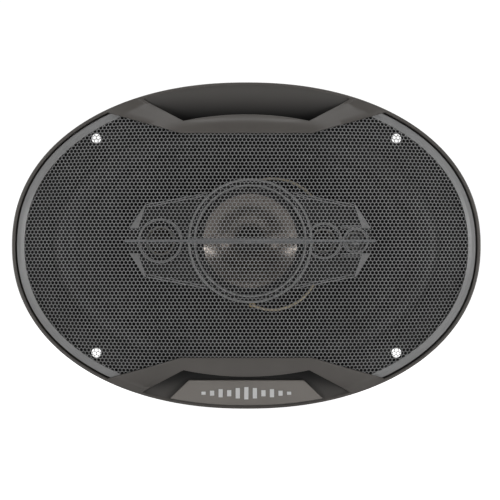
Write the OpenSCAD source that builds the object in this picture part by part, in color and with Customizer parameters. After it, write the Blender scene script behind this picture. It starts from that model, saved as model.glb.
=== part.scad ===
// Oval five-way coaxial car loudspeaker with a press-fit perforated grille.
// Drawn about the speaker axis: x to the right, y up, z towards the listener.
// face_forward() turns that so the front looks along -Y and the top along +Z.
// z = 0 is the rear face of the mounting flange.

/* [Basket] */
// Width of the basket body that passes through the panel
body_w = 214; // [178:1:258]
// Height of the basket body that passes through the panel
body_h = 144; // [120:1:174]
// Width of the flange outside the body, at the ends of the long axis
flange_lip_x = 11; // [9:0.25:14]
// Width of the flange outside the body, at the ends of the short axis
flange_lip_y = 9.25; // [8.5:0.25:12]
// Thickness of the flange
flange_t = 1.2; // [0.8:0.1:2.5]
// Thickness of the pressed basket wall
basket_t = 1.2; // [0.8:0.1:1.5]
// Depth from the flange to the rear of the basket
basket_depth = 50; // [42:1:60]
// Depth of the straight pan behind the flange
pan_depth = 9; // [6:0.5:11]
// Radius of the round shelf that carries the spider
shelf_r = 46; // [44:0.5:50]
// Depth of that shelf behind the flange
shelf_depth = 36; // [34:0.5:40]
// Number of legs and windows
leg_count = 6; // [6:6:6]
// Half angle of a window
window_half_angle = 20; // [14:1:23]
// Diameter of a mounting hole
mount_hole_d = 5; // [3.5:0.1:6]
// Distance of a mounting hole from the flange edge
mount_inset = 6.95; // [5:0.05:8]
// Place of a mounting hole round the flange
mount_angle = 47; // [40:0.5:52]

/* [Grille] */
// Thickness of the grille's outer rim
rim_wall = 1.6; // [1.2:0.1:2.5]
// Gap between the rim and the flange edge
rim_gap = 1.4; // [0.5:0.1:2]
// Height of the rim above the panel
rim_h = 6; // [5.5:0.25:8]
// Thickness of the perforated sheet
mesh_t = 0.8; // [0.6:0.1:1.2]
// Gentle crown of the sheet
mesh_crown = 5; // [3.5:0.25:8]
// Drop of the sheet over its sloping border
mesh_drop = 11; // [9:0.5:15]
// Where the sloping border starts, as a part of the way out
skirt_start = 0.8; // [0.7:0.01:0.85]
// How gently the border bends
skirt_bend = 0.04; // [0.02:0.01:0.1]
// Height of a bezel's face above the sheet
bezel_rise = 1.2; // [0.6:0.1:2]
// Thickness of a bezel's face
bezel_t = 2.4; // [2:0.1:3]
// Depth of a bezel, inwards from the outline
bezel_depth = 27.25; // [24:0.25:32]
// Width of a bezel along the outline
bezel_span = 143; // [125:1:160]
// Width of a bezel's straight inner edge
bezel_flat = 67; // [55:1:80]
// Width of the scoop along the outline
scoop_span = 107; // [90:1:115]
// Width of the scoop's inner edge
scoop_flat = 64; // [50:1:74]
// Clearance between the surround's roll and the scoop's inner edge
scoop_clear = 1.8; // [1:0.1:4]
// Diameter of a locating peg
peg_d = 3; // [2.4:0.1:4]
// Distance of a peg from the outline
peg_inset = 9; // [8:0.1:10.5]
// Place of a peg round the outline
peg_angle = 65; // [60:1:70]

/* [Cone and surround] */
// Width of the glued border of the surround
surround_lip = 6; // [4:0.5:8]
// Width of the half roll
roll_w = 13; // [9:0.5:15]
// Thickness of the surround
surround_t = 0.8; // [0.5:0.1:1.2]
// Thickness of the front gasket
gasket_t = 1.7; // [1:0.1:1.8]
// Thickness of the woofer cone
cone_t = 0.9; // [0.6:0.1:1.4]
// Depth of the woofer cone
cone_depth = 31.2; // [28:0.2:33]
// Curve of the cone's side, 1 is straight
cone_curve = 1.1; // [1:0.05:1.3]

/* [Motor] */
// Inner diameter of the voice coil former
coil_d = 31.8; // [26:0.2:38.4]
// Thickness of the winding
winding_t = 1; // [0.6:0.1:1.4]
// Length of the winding
winding_l = 12; // [8:0.5:14]
// Gap between coil and metal on either side
coil_gap = 0.5; // [0.4:0.05:0.8]
// Diameter of the ring magnet
magnet_d = 90; // [86:1:108]
// Thickness of the ring magnet
magnet_t = 18; // [14:0.5:22]
// Thickness of the top plate
top_plate_t = 5; // [4:0.5:7]
// Thickness of the yoke's plate
yoke_t = 6; // [5:0.5:8]
// Thickness of the rubber boot
boot_t = 2; // [1.5:0.1:3]

/* [Bridge] */
// Diameter of the centre post
post_d = 18; // [14:0.5:22]
// Shift of the bridge to the right of the speaker axis
bridge_dx = 2; // [0:0.1:2.5]
// Shift of the bridge above the speaker axis
bridge_dy = 2.4; // [0:0.1:2.5]
// Outer radius of the midrange housing
cup_r = 31.9; // [29:0.1:35]
// Wall of the bridge moulding
bridge_wall = 1.6; // [1.2:0.1:2]
// Height of the bridge's face above the flange
bridge_top = 13; // [12:0.25:14]
// Height of a wing's side
wing_h = 10; // [9.5:0.25:10.5]
// Wall of the wing outside the outermost tweeter
wing_tip = 1.3; // [1:0.1:4]
// Half width of the channel along the wings
channel_half = 6.4; // [5:0.1:7.5]
// Depth of that channel
channel_depth = 3; // [2:0.25:3.5]
// Width of the midrange surround
mid_surround_w = 5; // [4:0.1:8]
// Radius of the midrange dust cap
mid_cap_r = 7.6; // [6:0.1:9]
// Outer radius of the left tweeter
left_tweeter_r = 11.4; // [10:0.1:12]
// Outer radius of the right tweeter
right_tweeter_r = 9.4; // [8:0.1:9.6]
// Outer radius of the small outer tweeter
super_tweeter_r = 6.7; // [6:0.1:6.8]
// Gap between the midrange housing and the left tweeter
left_tweeter_gap = 2.7; // [1.5:0.1:5]
// How far the right tweeter reaches into the circle of the midrange housing
right_tweeter_bite = 3.7; // [0:0.1:4]
// Gap between the right tweeter and the small outer one
super_tweeter_gap = 0.3; // [0.2:0.1:2]

/* [Terminals] */
// Width of the terminal board
board_w = 34; // [30:1:40]
// Length of the terminal board
board_l = 27; // [24:1:30]
// Thickness of the terminal board
board_t = 1.6; // [1:0.1:2]
// Width of the positive tab
positive_tab_w = 6.3; // [4.8:0.1:6.3]
// Width of the negative tab
negative_tab_w = 4.8; // [2.8:0.1:6.3]
// Thickness of a tab
tab_t = 0.8; // [0.5:0.1:1]
// Distance of each tab from the middle
tab_x = 14; // [11:0.5:14]

/* [Hidden] */

$fn = 64;
seg = 64;
eps = 0.01;

// Outlines
body_n = 2;
outline_n = 2.16;
body_a = body_w / 2;
body_b = body_h / 2;
flange_a = body_a + flange_lip_x;
flange_b = body_b + flange_lip_y;
outline_a = flange_a + rim_gap + rim_wall;
outline_b = flange_b + rim_gap + rim_wall;

// Surround and cone
lip_inset = 1;
roll_start = lip_inset + surround_lip;
roll_mid = roll_start + roll_w / 2;
cone_edge = roll_start + roll_w;
cone_land = 3;
shelf_inset = lip_inset + surround_lip + 1;
former_t = 0.3;
former_r = coil_d / 2;
former_out = former_r + former_t;
cone_a = body_a - cone_edge - cone_land;
cone_b = body_b - cone_edge - cone_land;
neck_z = flange_t - cone_depth;

// Small fasteners
rivet_r = 2;
rivet_head_r = 3.2;
rivet_head_h = 1.2;
board_rivet_r = 1.5;
board_rivet_x = 8;
solder_rivet_r = 1;

// Motor
plate_back = -basket_depth - top_plate_t;
magnet_back = plate_back - magnet_t;
yoke_back = magnet_back - yoke_t;
pole_r = former_r - coil_gap;
gap_r = former_out + winding_t + 1.6 * coil_gap;
plate_r = magnet_d / 2 - 3;
cup_wall_r = shelf_r - 9;
pole_top = -basket_depth + 1;
boot_hole_r = 14;
boot_grip = 2;
screw_r = 2.5;
screw_head_r = 5;
screw_head_h = 3.2;
screw_grip = 18;

// Bridge
post_r = post_d / 2;
cup_floor = -10;
post_flange_t = 2;
cup_top = bridge_top - 2;
mid_seat = cup_top - 1;
cup_floor_r = cup_r - 9.9;
mid_in_r = cup_r - 2;
mid_cone_r = mid_in_r - mid_surround_w;
mid_magnet_r = cup_floor_r - 6;
mid_neck_z = 1;
left_tweeter_x = cup_r + left_tweeter_gap + left_tweeter_r;
right_tweeter_x = cup_r - right_tweeter_bite + right_tweeter_r;
super_tweeter_x = right_tweeter_x + right_tweeter_r + super_tweeter_gap + super_tweeter_r;
wing_reach = max(super_tweeter_x + super_tweeter_r, left_tweeter_x + left_tweeter_r) + wing_tip;
wing_low = bridge_top - wing_h;
wing_root = cup_floor_r;
wing_root_y = cup_r - 7.4;
wing_knee = wing_reach - 8;
wing_knee_y = left_tweeter_r + 7;
bar_reach = wing_reach + 2;
bevel_tilt = 32;

// Grille
seat_z = 4.2;
mesh_inset = 2.6;
mesh_land = 2;
ledge_inset = 6.5;
mesh_a = outline_a - mesh_inset - mesh_land;
mesh_b = outline_b - mesh_inset - mesh_land;
scoop_wall = 1.5;
peg_clearance = 0.06;
grommet_wall = 1.6;
bezel_edge_y = outline_b - bezel_depth;
gasket_top = flange_t + surround_t + gasket_t;
floor_z = gasket_top + 0.3;

// Routes
lead_r = 0.8;
lead_rise = 1.9;
lead_scale = cup_r / 31.9;
front_eyelets = lead_scale * [[1.6, 32.7], [3.1, -31.4]];
rear_eyelet_y = -mix(former_out, cone_b, 0.665);
rear_eyelets = [[-tab_x, rear_eyelet_y], [tab_x, rear_eyelet_y]];
shelf_z = -shelf_depth;
board_z = shelf_z - basket_t;
board_y = -(cup_wall_r + 1.6);
board_rivet_y = board_y - 3.6;
lug_y = -(shelf_r + 9);

// Turns the speaker axes into the part's frame
module face_forward() {
    rotate([90, 0, 0]) children();
}

// Shared outline functions
function power(v, n) = sign(v) * pow(abs(v), 2 / n);
function oval(a, b, n, steps = 96) =
    [for (i = [0:steps - 1]) [a * power(cos(360 * i / steps), n), b * power(sin(360 * i / steps), n)]];
function oval_y(x, a, b, n) = b * pow(1 - pow(abs(x) / a, n), 1 / n);
function ring3(r) = [for (p = oval(r[0], r[1], r[2], seg)) [p[0], p[1], r[3]]];
function mix(a, b, t) = a + (b - a) * t;

module oval_plate(a, b, n, z, h) {
    translate([0, 0, z]) linear_extrude(h) polygon(oval(a, b, n));
}

module oval_ring(a, b, n, width, z, h) {
    difference() {
        oval_plate(a, b, n, z, h);
        oval_plate(a - width, b - width, n, z - 1, h + 2);
    }
}

module tube(r_out, r_in, z, h) {
    translate([0, 0, z]) difference() {
        cylinder(r = r_out, h = h);
        translate([0, 0, -1]) cylinder(r = r_in, h = h + 2);
    }
}

module disc(r, z, h) {
    translate([0, 0, z]) cylinder(r = r, h = h);
}

// Joins rings [a, b, squareness, z] by bands; closed shells return to the first ring
function band(j, j2) = [for (i = [0:seg - 1]) let (k = (i + 1) % seg)
    each [[j * seg + i, j2 * seg + k, j * seg + k], [j * seg + i, j2 * seg + i, j2 * seg + k]]];

module shell(rings) {
    m = len(rings);
    polyhedron([for (r = rings) each ring3(r)], [for (j = [0:m - 1]) each band(j, (j + 1) % m)]);
}

module capped(rings) {
    m = len(rings);
    polyhedron([for (r = rings) each ring3(r)],
        [each [for (j = [0:m - 2]) each band(j, j + 1)],
         [for (i = [0:seg - 1]) i],
         [for (i = [seg - 1:-1:0]) (m - 1) * seg + i]]);
}

// Round wire along points
function unit(v) = v / norm(v);
function along(p, i) = unit(p[min(i + 1, len(p) - 1)] - p[max(i - 1, 0)]);
function wire_ring(p, i, r, side, n) = let (t = along(p, i), u = unit(cross(t, side)), w = cross(t, u))
    [for (k = [0:n - 1]) p[i] + r * (cos(360 * k / n) * u + sin(360 * k / n) * w)];

module wire(points, r, side, n = 8) {
    m = len(points);
    polyhedron([for (i = [0:m - 1]) each wire_ring(points, i, r, side, n)],
        [each [for (j = [0:m - 2], i = [0:n - 1]) let (k = (i + 1) % n)
            [j * n + i, j * n + k, (j + 1) * n + k, (j + 1) * n + i]],
         [for (i = [n - 1:-1:0]) i],
         [for (i = [0:n - 1]) (m - 1) * n + i]]);
}

// Places in the flange
function quarters(p) = [for (sx = [1, -1], sy = [1, -1]) [sx * p[0], sy * p[1]]];
mount_points = quarters([(flange_a - mount_inset) * power(cos(mount_angle), outline_n),
                         (flange_b - mount_inset) * power(sin(mount_angle), outline_n)]);
peg_points = quarters([(outline_a - peg_inset) * power(cos(peg_angle), outline_n),
                       (outline_b - peg_inset) * power(sin(peg_angle), outline_n)]);
rivet_points = [for (a = [45:90:315]) 0.5 * (gap_r + cup_wall_r + 5) * [cos(a), sin(a)]];

// Basket ---------------------------------------------------------------

// The pressed wall: inner face from the flange to the rear plate, then the outer face back
basket_rings = [
    [body_a - basket_t, body_b - basket_t, body_n, 0],
    [body_a - 1.5 - basket_t, body_b - 1.5 - basket_t, body_n, -pan_depth + 0.4],
    [body_a - 9 - basket_t, body_b - 8 - basket_t, body_n, -pan_depth - 5],
    [shelf_r + 2.8, shelf_r + 2.8, body_n, shelf_z + 1.8],
    [shelf_r - 0.4, shelf_r - 0.4, body_n, shelf_z],
    [cup_wall_r + 0.6, cup_wall_r + 0.6, body_n, shelf_z],
    [cup_wall_r - basket_t, cup_wall_r - basket_t, body_n, shelf_z - 2.4],
    [cup_wall_r - 1 - basket_t, cup_wall_r - 1 - basket_t, body_n, -basket_depth + basket_t],
    [gap_r + 5, gap_r + 5, body_n, -basket_depth + basket_t],
    [gap_r + 5, gap_r + 5, body_n, -basket_depth],
    [cup_wall_r - 1, cup_wall_r - 1, body_n, -basket_depth],
    [cup_wall_r, cup_wall_r, body_n, shelf_z - 3],
    [cup_wall_r + basket_t, cup_wall_r + basket_t, body_n, shelf_z - basket_t],
    [shelf_r, shelf_r, body_n, shelf_z - basket_t],
    [shelf_r + 4, shelf_r + 4, body_n, shelf_z + 1],
    [body_a - 9, body_b - 8, body_n, -pan_depth - 6],
    [body_a - 1.5, body_b - 1.5, body_n, -pan_depth],
    [body_a, body_b, body_n, 0]
];

module window() {
    low = shelf_z + 2.5;
    high = -pan_depth - 8;
    translate([0, 0, low]) linear_extrude(high - low) offset(r = 3) offset(delta = -3)
        polygon([for (s = [-1, 1], r = s < 0 ? [shelf_r + 4.5, body_a + 20] : [body_a + 20, shelf_r + 4.5])
            r * [cos(s * window_half_angle), sin(s * window_half_angle)]]);
}

module basket() {
    color("dimgray") face_forward() difference() {
        union() {
            difference() {
                oval_plate(flange_a, flange_b, outline_n, 0, flange_t);
                oval_plate(body_a - shelf_inset, body_b - shelf_inset, body_n, -1, flange_t + 2);
            }
            shell(basket_rings);
        }
        for (i = [0:leg_count - 1])
            rotate([0, 0, 30 + 360 * i / leg_count]) window();
        for (p = mount_points)
            translate([p[0], p[1], -1]) cylinder(d = mount_hole_d, h = flange_t + 2);
        for (p = peg_points)
            translate([p[0], p[1], -1]) cylinder(r = peg_d / 2 + grommet_wall, h = flange_t + 2);
        for (p = rivet_points)
            translate([p[0], p[1], -basket_depth - 1]) cylinder(r = rivet_r, h = basket_t + 2);
        for (s = [-1, 1])
            translate([s * board_rivet_x, board_rivet_y, board_z - 1])
                cylinder(r = board_rivet_r, h = basket_t + 2);
    }
}

module grille_grommets() {
    color("black") face_forward()
        for (p = peg_points)
            translate([p[0], p[1], 0]) tube(peg_d / 2 + grommet_wall, peg_d / 2 + peg_clearance, 0, flange_t);
}

module front_gasket() {
    color("black") face_forward()
        oval_ring(body_a - lip_inset, body_b - lip_inset, body_n, surround_lip - 0.5,
            flange_t + surround_t, gasket_t);
}

// Moving woofer --------------------------------------------------------

function inset_ring(d, z) = [body_a - d, body_b - d, body_n, z];
roll_r = roll_w / 2;
function roll_point(r, t) = inset_ring(roll_mid + r * cos(t), flange_t + r * sin(t));

// Outer face of the half roll, then its inner face back
surround_rings = [
    inset_ring(lip_inset, flange_t),
    inset_ring(lip_inset, flange_t + surround_t),
    inset_ring(roll_start, flange_t + surround_t),
    each [for (t = [160:-20:20]) roll_point(roll_r, t) + [0, 0, 0, surround_t]],
    inset_ring(cone_edge, flange_t + surround_t),
    inset_ring(cone_edge + cone_land, flange_t + surround_t),
    inset_ring(cone_edge + cone_land, flange_t),
    inset_ring(cone_edge - surround_t, flange_t),
    each [for (t = [20:20:160]) roll_point(roll_r - surround_t, t)],
    inset_ring(roll_start + surround_t, flange_t)
];

module surround() {
    color("#303030") face_forward() shell(surround_rings);
}

// Cone face as a function of the way from neck to rim
function cone_size_a(s) = mix(former_out, cone_a, s);
function cone_size_b(s) = mix(former_out, cone_b, s);
function cone_z(s) = neck_z + cone_depth * pow(s, cone_curve);
cone_steps = [0.9, 0.75, 0.6, 0.45, 0.3, 0.15];

// Way from neck to rim at a point, by halving
function cone_way(x, y, low = 0, high = 1, turns = 20) = let (mid = (low + high) / 2)
    turns == 0 ? mid :
    pow(x / cone_size_a(mid), 2) + pow(y / cone_size_b(mid), 2) > 1
        ? cone_way(x, y, mid, high, turns - 1) : cone_way(x, y, low, mid, turns - 1);
function cone_at(p) = cone_z(cone_way(p[0], p[1]));

cone_rings = [
    [cone_a + cone_land, cone_b + cone_land, body_n, flange_t - cone_t],
    [cone_a + cone_land, cone_b + cone_land, body_n, flange_t],
    [cone_a, cone_b, body_n, flange_t],
    each [for (s = cone_steps) [cone_size_a(s), cone_size_b(s), body_n, cone_z(s)]],
    [former_out, former_out, body_n, neck_z],
    [former_out, former_out, body_n, neck_z - cone_t],
    each [for (i = [len(cone_steps) - 1:-1:0]) let (s = cone_steps[i])
        [cone_size_a(s), cone_size_b(s), body_n, cone_z(s) - cone_t]],
    [cone_a, cone_b, body_n, flange_t - cone_t]
];

module woofer_cone() {
    color("#4a4a4a") face_forward() shell(cone_rings);
}

module cone_eyelets() {
    color("#b5a642") face_forward()
        for (p = concat(front_eyelets, rear_eyelets))
            translate([p[0], p[1], cone_at(p) - cone_t - 1]) cylinder(r = 1.6, h = cone_t + 2);
}

// Spider: flat collars joined by even corrugations
wave_count = 5;
spider_t = 0.5;
spider_in = former_out + 3;
spider_out = cup_wall_r - 0.5;
function wave(r) = 1.2 * sin(360 * wave_count * (r - spider_in) / (spider_out - spider_in));
spider_radii = [for (i = [0:40]) mix(spider_in, spider_out, i / 40)];

module spider() {
    color("#c9a227") face_forward() rotate_extrude()
        polygon([
            [former_out, shelf_z],
            each [for (r = spider_radii) [r, shelf_z + wave(r)]],
            [shelf_r - 2, shelf_z],
            [shelf_r - 2, shelf_z + spider_t],
            each [for (i = [40:-1:0]) [spider_radii[i], shelf_z + spider_t + wave(spider_radii[i])]],
            [former_out, shelf_z + spider_t]
        ]);
}

module coil_former() {
    low = -basket_depth - top_plate_t / 2 - winding_l / 2 - 2.5;
    color("#b08d57") face_forward() tube(former_out, former_r, low, neck_z + 2 - low);
}

module voice_coil() {
    color("#b87333") face_forward()
        tube(former_out + winding_t, former_out, -basket_depth - (top_plate_t + winding_l) / 2, winding_l);
}

module dust_seal() {
    color("#222222") face_forward() tube(former_r, post_r + 0.5, neck_z, 2);
}

// Motor ----------------------------------------------------------------

module top_plate() {
    color("silver") face_forward() difference() {
        tube(plate_r, gap_r, plate_back, top_plate_t);
        for (p = rivet_points)
            translate([p[0], p[1], plate_back - 1]) cylinder(r = rivet_r, h = top_plate_t + 2);
    }
}

module magnet() {
    color("#2b2b2b") face_forward() tube(magnet_d / 2, gap_r + 4.5, magnet_back, magnet_t);
}

module pole_yoke() {
    color("silver") face_forward() difference() {
        union() {
            disc(plate_r, yoke_back, yoke_t);
            disc(pole_r, magnet_back - eps, pole_top - magnet_back + eps);
        }
        disc(screw_r + 0.25, yoke_back - 1, pole_top - yoke_back + 2);
        disc(screw_head_r + 1, yoke_back - 1, 1 + screw_head_h);
    }
}

module magnet_boot() {
    color("#1c1c1c") face_forward() difference() {
        disc(magnet_d / 2 + boot_t, yoke_back - boot_t, magnet_t + yoke_t + boot_t - boot_grip);
        disc(magnet_d / 2, yoke_back, magnet_t + yoke_t + boot_t);
        disc(boot_hole_r, yoke_back - boot_t - 1, boot_t + 2);
    }
}

module motor_rivets() {
    color("gray") face_forward()
        for (p = rivet_points)
            translate([p[0], p[1], 0]) {
                disc(rivet_r, plate_back, top_plate_t + basket_t);
                disc(rivet_head_r, -basket_depth + basket_t, rivet_head_h);
            }
}

module centre_post() {
    color("silver") face_forward() difference() {
        union() {
            disc(post_r, pole_top, cup_floor - pole_top - eps);
            disc(post_r + 5, cup_floor - post_flange_t, post_flange_t);
        }
        disc(screw_r, pole_top - 1, screw_grip + 3);
    }
}

module post_screw() {
    color("gray") face_forward() {
        disc(screw_r, yoke_back + screw_head_h - eps, pole_top + screw_grip - yoke_back - screw_head_h);
        difference() {
            disc(screw_head_r, yoke_back, screw_head_h);
            translate([0, 0, yoke_back - 1]) cylinder(r = 2.3, h = 3, $fn = 6);
        }
    }
}

// Bridge ---------------------------------------------------------------

module on_bridge() {
    face_forward() translate([bridge_dx, bridge_dy, 0]) children();
}

wing_outline = [[wing_root, wing_root_y], [wing_knee, wing_knee_y], [wing_reach, channel_half],
                [wing_reach, -channel_half], [wing_knee, -wing_knee_y], [wing_root, -wing_root_y]];

module cup_solid(wall, top) {
    rotate_extrude() polygon([[0, cup_floor + wall], [cup_floor_r - wall / 2, cup_floor + wall],
        [cup_r - wall, wall / 2], [cup_r - wall, top], [0, top]]);
}

// The sloping end face of a wing
module wing_bevel() {
    edge = atan2(wing_knee_y - channel_half, wing_reach - 4.8 - (wing_knee - 0.8));
    translate([wing_reach - 4.8, channel_half, bridge_top]) rotate([0, 0, 90 - edge])
        rotate([0, bevel_tilt, 0]) translate([0, -12, 0]) cube([30, 50, 20]);
}

module wing() {
    difference() {
        translate([0, 0, wing_low]) linear_extrude(wing_h) polygon(wing_outline);
        translate([0, 0, wing_low - 1]) linear_extrude(wing_h + 1 - bridge_wall - channel_depth)
            offset(delta = -bridge_wall) polygon(wing_outline);
        for (m = [0, 1]) mirror([0, m, 0]) {
            translate([0, 0, wing_low - 1]) linear_extrude(wing_h + 1 - bridge_wall) intersection() {
                offset(delta = -bridge_wall) polygon(wing_outline);
                translate([0, channel_half + bridge_wall]) square([wing_reach - 6, 40]);
            }
            wing_bevel();
        }
        translate([cup_r + 1, -channel_half, bridge_top - channel_depth])
            cube([wing_reach, 2 * channel_half, channel_depth + 1]);
    }
}

module bridge_body() {
    color("#3c3c3e") on_bridge() difference() {
        union() {
            cup_solid(0, cup_top);
            wing();
            mirror([1, 0, 0]) wing();
        }
        cup_solid(2, bridge_top + 1);
        disc(screw_r + 6, cup_floor - 1, 1);
        disc(cup_r, cup_top, 10);
        translate([-left_tweeter_x, 0, 0]) disc(left_tweeter_r, 0, bridge_top + 1);
        translate([right_tweeter_x, 0, 0]) difference() {
            disc(right_tweeter_r, 0, bridge_top + 1);
            translate([-right_tweeter_x, 0, 0]) disc(cup_r, -1, bridge_top + 3);
        }
        translate([super_tweeter_x, 0, 0]) disc(super_tweeter_r, 0, bridge_top + 1);
    }
}

module bridge_bar() {
    color("#6b6e6a") on_bridge() translate([0, 0, bridge_top]) {
        translate([-cup_r, -1.3, 0]) cube([2 * cup_r, 2.6, 2]);
        translate([-bar_reach, -0.75, 0]) cube([2 * bar_reach, 1.5, 1.6]);
    }
}

module mid_trim_ring() {
    color("#38383a") on_bridge() tube(cup_r, mid_in_r - 2.3, cup_top, bridge_top - cup_top);
}

module mid_frame() {
    color("#2a2a2a") on_bridge() {
        tube(mid_in_r, mid_cone_r + 1.9, mid_seat - 0.8, 0.8);
        tube(mid_in_r, mid_in_r - 1, 4, mid_seat - 4);
    }
}

module mid_magnet() {
    color("silver") on_bridge() difference() {
        disc(mid_magnet_r, cup_floor + 2, 6.5);
        tube(mid_cap_r + 0.8, mid_cap_r - 0.8, cup_floor + 3.5, 8);
    }
}

module mid_surround() {
    roll = (mid_in_r - 1.4 - mid_cone_r) / 4;
    mid = mid_cone_r + roll + 0.4;
    color("#1d1d1d") on_bridge() rotate_extrude() difference() {
        union() {
            translate([mid_cone_r - 0.8, mid_seat]) square([mid_in_r - 1.4 - mid_cone_r + 0.8, 0.3]);
            translate([mid, mid_seat]) circle(r = roll);
        }
        translate([mid, mid_seat]) circle(r = roll - 0.3);
        translate([mid_cone_r - 2, mid_seat - 5]) square([12, 5]);
    }
}

module mid_cone() {
    rim = mid_cone_r - 0.4;
    color("gainsboro") on_bridge() rotate_extrude() polygon([
        each [for (i = [0:8]) let (s = i / 8)
            [mix(mid_cap_r + 0.3, rim, s), mix(mid_neck_z, mid_seat, pow(s, 1.25))]],
        each [for (i = [8:-1:0]) let (s = i / 8)
            [mix(mid_cap_r + 0.3, rim, s), mix(mid_neck_z, mid_seat, pow(s, 1.25)) - 0.5]]
    ]);
}

// Spherical cap as a thin shell, with a short coil tube below it
module dome_shell(r, h, t) {
    ball = (r * r + h * h) / (2 * h);
    edge = asin(r / ball);
    rotate_extrude() polygon([
        each [for (i = [0:10]) [ball * sin(edge * i / 10), ball * cos(edge * i / 10) - ball + h]],
        each [for (i = [10:-1:0]) (ball - t) * [sin(edge * i / 10), cos(edge * i / 10)] - [0, ball - h]]
    ]);
}

module mid_dust_cap() {
    color("#55504e") on_bridge() translate([0, 0, mid_neck_z]) dome_shell(mid_cap_r + 0.3, 3.2, 0.4);
}

module mid_coil() {
    color("#b87333") on_bridge() tube(mid_cap_r + 0.3, mid_cap_r - 0.3, cup_floor + 4.5, mid_neck_z - cup_floor - 5);
}

// Tweeters -------------------------------------------------------------

tweeter_base = wing_low + 0.6;
dome_z = bridge_top - 3.8;
function dome_r(r) = 0.57 * r;
function core_r(r) = dome_r(r) + 1.2;

module tweeter_housing(r) {
    rotate_extrude() polygon([[r, tweeter_base], [r, bridge_top], [r - 1, bridge_top],
        [dome_r(r) + 0.8, dome_z], [core_r(r), dome_z - 0.8], [core_r(r), tweeter_base]]);
}

module tweeter_magnet(r) {
    difference() {
        disc(core_r(r), tweeter_base, dome_z - 0.8 - tweeter_base);
        tube(dome_r(r) + 0.45, dome_r(r) - 0.75, dome_z - 3.4, 8);
    }
}

module tweeter_dome(r) {
    translate([0, 0, dome_z]) dome_shell(dome_r(r), 0.42 * dome_r(r), 0.35);
    tube(dome_r(r) - 0.05, dome_r(r) - 0.35, dome_z - 2.6, 2.7);
}

module at_tweeter(x) {
    on_bridge() translate([x, 0, 0]) children();
}

module left_tweeter_housing() {
    color("#343436") at_tweeter(-left_tweeter_x) tweeter_housing(left_tweeter_r);
}

module left_tweeter_magnet() {
    color("silver") at_tweeter(-left_tweeter_x) tweeter_magnet(left_tweeter_r);
}

module left_tweeter_dome() {
    color("#6a6466") at_tweeter(-left_tweeter_x) tweeter_dome(left_tweeter_r);
}

// The housing's side is hollowed where it meets the round midrange housing
module right_tweeter_housing() {
    color("#343436") on_bridge() difference() {
        translate([right_tweeter_x, 0, 0]) tweeter_housing(right_tweeter_r);
        disc(cup_r, -20, 60);
    }
}

module right_tweeter_magnet() {
    color("silver") on_bridge() difference() {
        translate([right_tweeter_x, 0, 0]) tweeter_magnet(right_tweeter_r);
        disc(cup_r, -20, 60);
    }
}

module right_tweeter_dome() {
    color("#4a4a4c") at_tweeter(right_tweeter_x) tweeter_dome(right_tweeter_r);
}

module super_tweeter_housing() {
    color("#343436") at_tweeter(super_tweeter_x) tweeter_housing(super_tweeter_r);
}

module super_tweeter_magnet() {
    color("silver") at_tweeter(super_tweeter_x) tweeter_magnet(super_tweeter_r);
}

module super_tweeter_dome() {
    color("#8a8a8a") at_tweeter(super_tweeter_x) tweeter_dome(super_tweeter_r);
}

// Two capacitors lie inside the wings, under the upper face
module crossover_capacitors() {
    cap_r = 3.1;
    color("#243a7a") on_bridge()
        for (s = [-1, 1])
            translate([s * (cup_r - 1.4), 15.3, bridge_top - bridge_wall - cap_r]) rotate([0, s * 90, 0])
                cylinder(r = cap_r, h = 13);
}

// Terminals and leads --------------------------------------------------

module board_outline() {
    translate([-board_w / 2, board_y - board_l]) square([board_w, board_l]);
}

module terminal_board() {
    color("#6b3f1d") face_forward() translate([0, 0, board_z - board_t]) difference() {
        linear_extrude(board_t) board_outline();
        for (s = [-1, 1]) {
            translate([s * board_rivet_x, board_rivet_y, -1]) cylinder(r = board_rivet_r, h = board_t + 2);
            translate([s * tab_x, lug_y, -1]) cylinder(r = solder_rivet_r, h = board_t + 2);
        }
    }
}

// A push-on tab behind the board, riveted to a solder lug in front of it
module terminal(w) {
    tab_y = board_y - board_l;
    translate([-w / 2, tab_y - 8, board_z - board_t - tab_t]) cube([w, lug_y - tab_y + 10.5, tab_t]);
    translate([-1.6, lug_y - 1.6, board_z]) cube([3.2, 3.2, tab_t]);
    translate([0, lug_y, board_z - board_t - eps]) cylinder(r = solder_rivet_r, h = board_t + 2 * eps);
}

module positive_terminal() {
    color("#d9c58a") face_forward() translate([-tab_x, 0, 0]) terminal(positive_tab_w);
}

module negative_terminal() {
    color("#c8c8c8") face_forward() translate([tab_x, 0, 0]) terminal(negative_tab_w);
}

module board_rivets() {
    color("gray") face_forward()
        for (s = [-1, 1])
            translate([s * board_rivet_x, board_rivet_y, 0]) {
                disc(board_rivet_r, board_z - board_t, board_t + basket_t);
                disc(board_rivet_r + 0.9, board_z - board_t - 0.9, 0.9);
            }
}

// A slack loop from a solder lug to the back of the cone
module tinsel_leads() {
    for (p = rear_eyelets) {
        end_z = cone_at(p) - cone_t - 1.1;
        start_z = board_z + tab_t;
        route = [for (u = [0:0.1:1]) [p[0],
            mix(lug_y, p[1], u * u * (3 - 2 * u)) - 3 * sin(180 * min(1, 2 * u)),
            mix(start_z, end_z, u)]];
        color("#c58a4a") face_forward() wire(route, lead_r, [1, 0, 0]);
    }
}

// Centre, radius and end angles of each arc in which a lead rises from the cone to the wing's wall
front_arcs = [[10.9, 9.6, 24.9, 112, 29], [14, -14, 20.5, -122, -22]];

function arc_lead(arc, turns = 14) =
    [for (i = [0:turns]) let (u = i / turns, a = mix(arc[3], arc[4], u), lift = u * u,
            x = lead_scale * (arc[0] + arc[2] * cos(a)) + bridge_dx * u,
            y = lead_scale * (arc[1] + arc[2] * sin(a)) + bridge_dy * u)
        [x, y, mix(cone_at([x, y]) + lead_rise, wing_low + 3, lift)]];

module front_leads() {
    color("#c9a85a") face_forward()
        for (arc = front_arcs)
            wire(arc_lead(arc), lead_r, [0, 0, 1]);
}

// Grille ---------------------------------------------------------------

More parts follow.
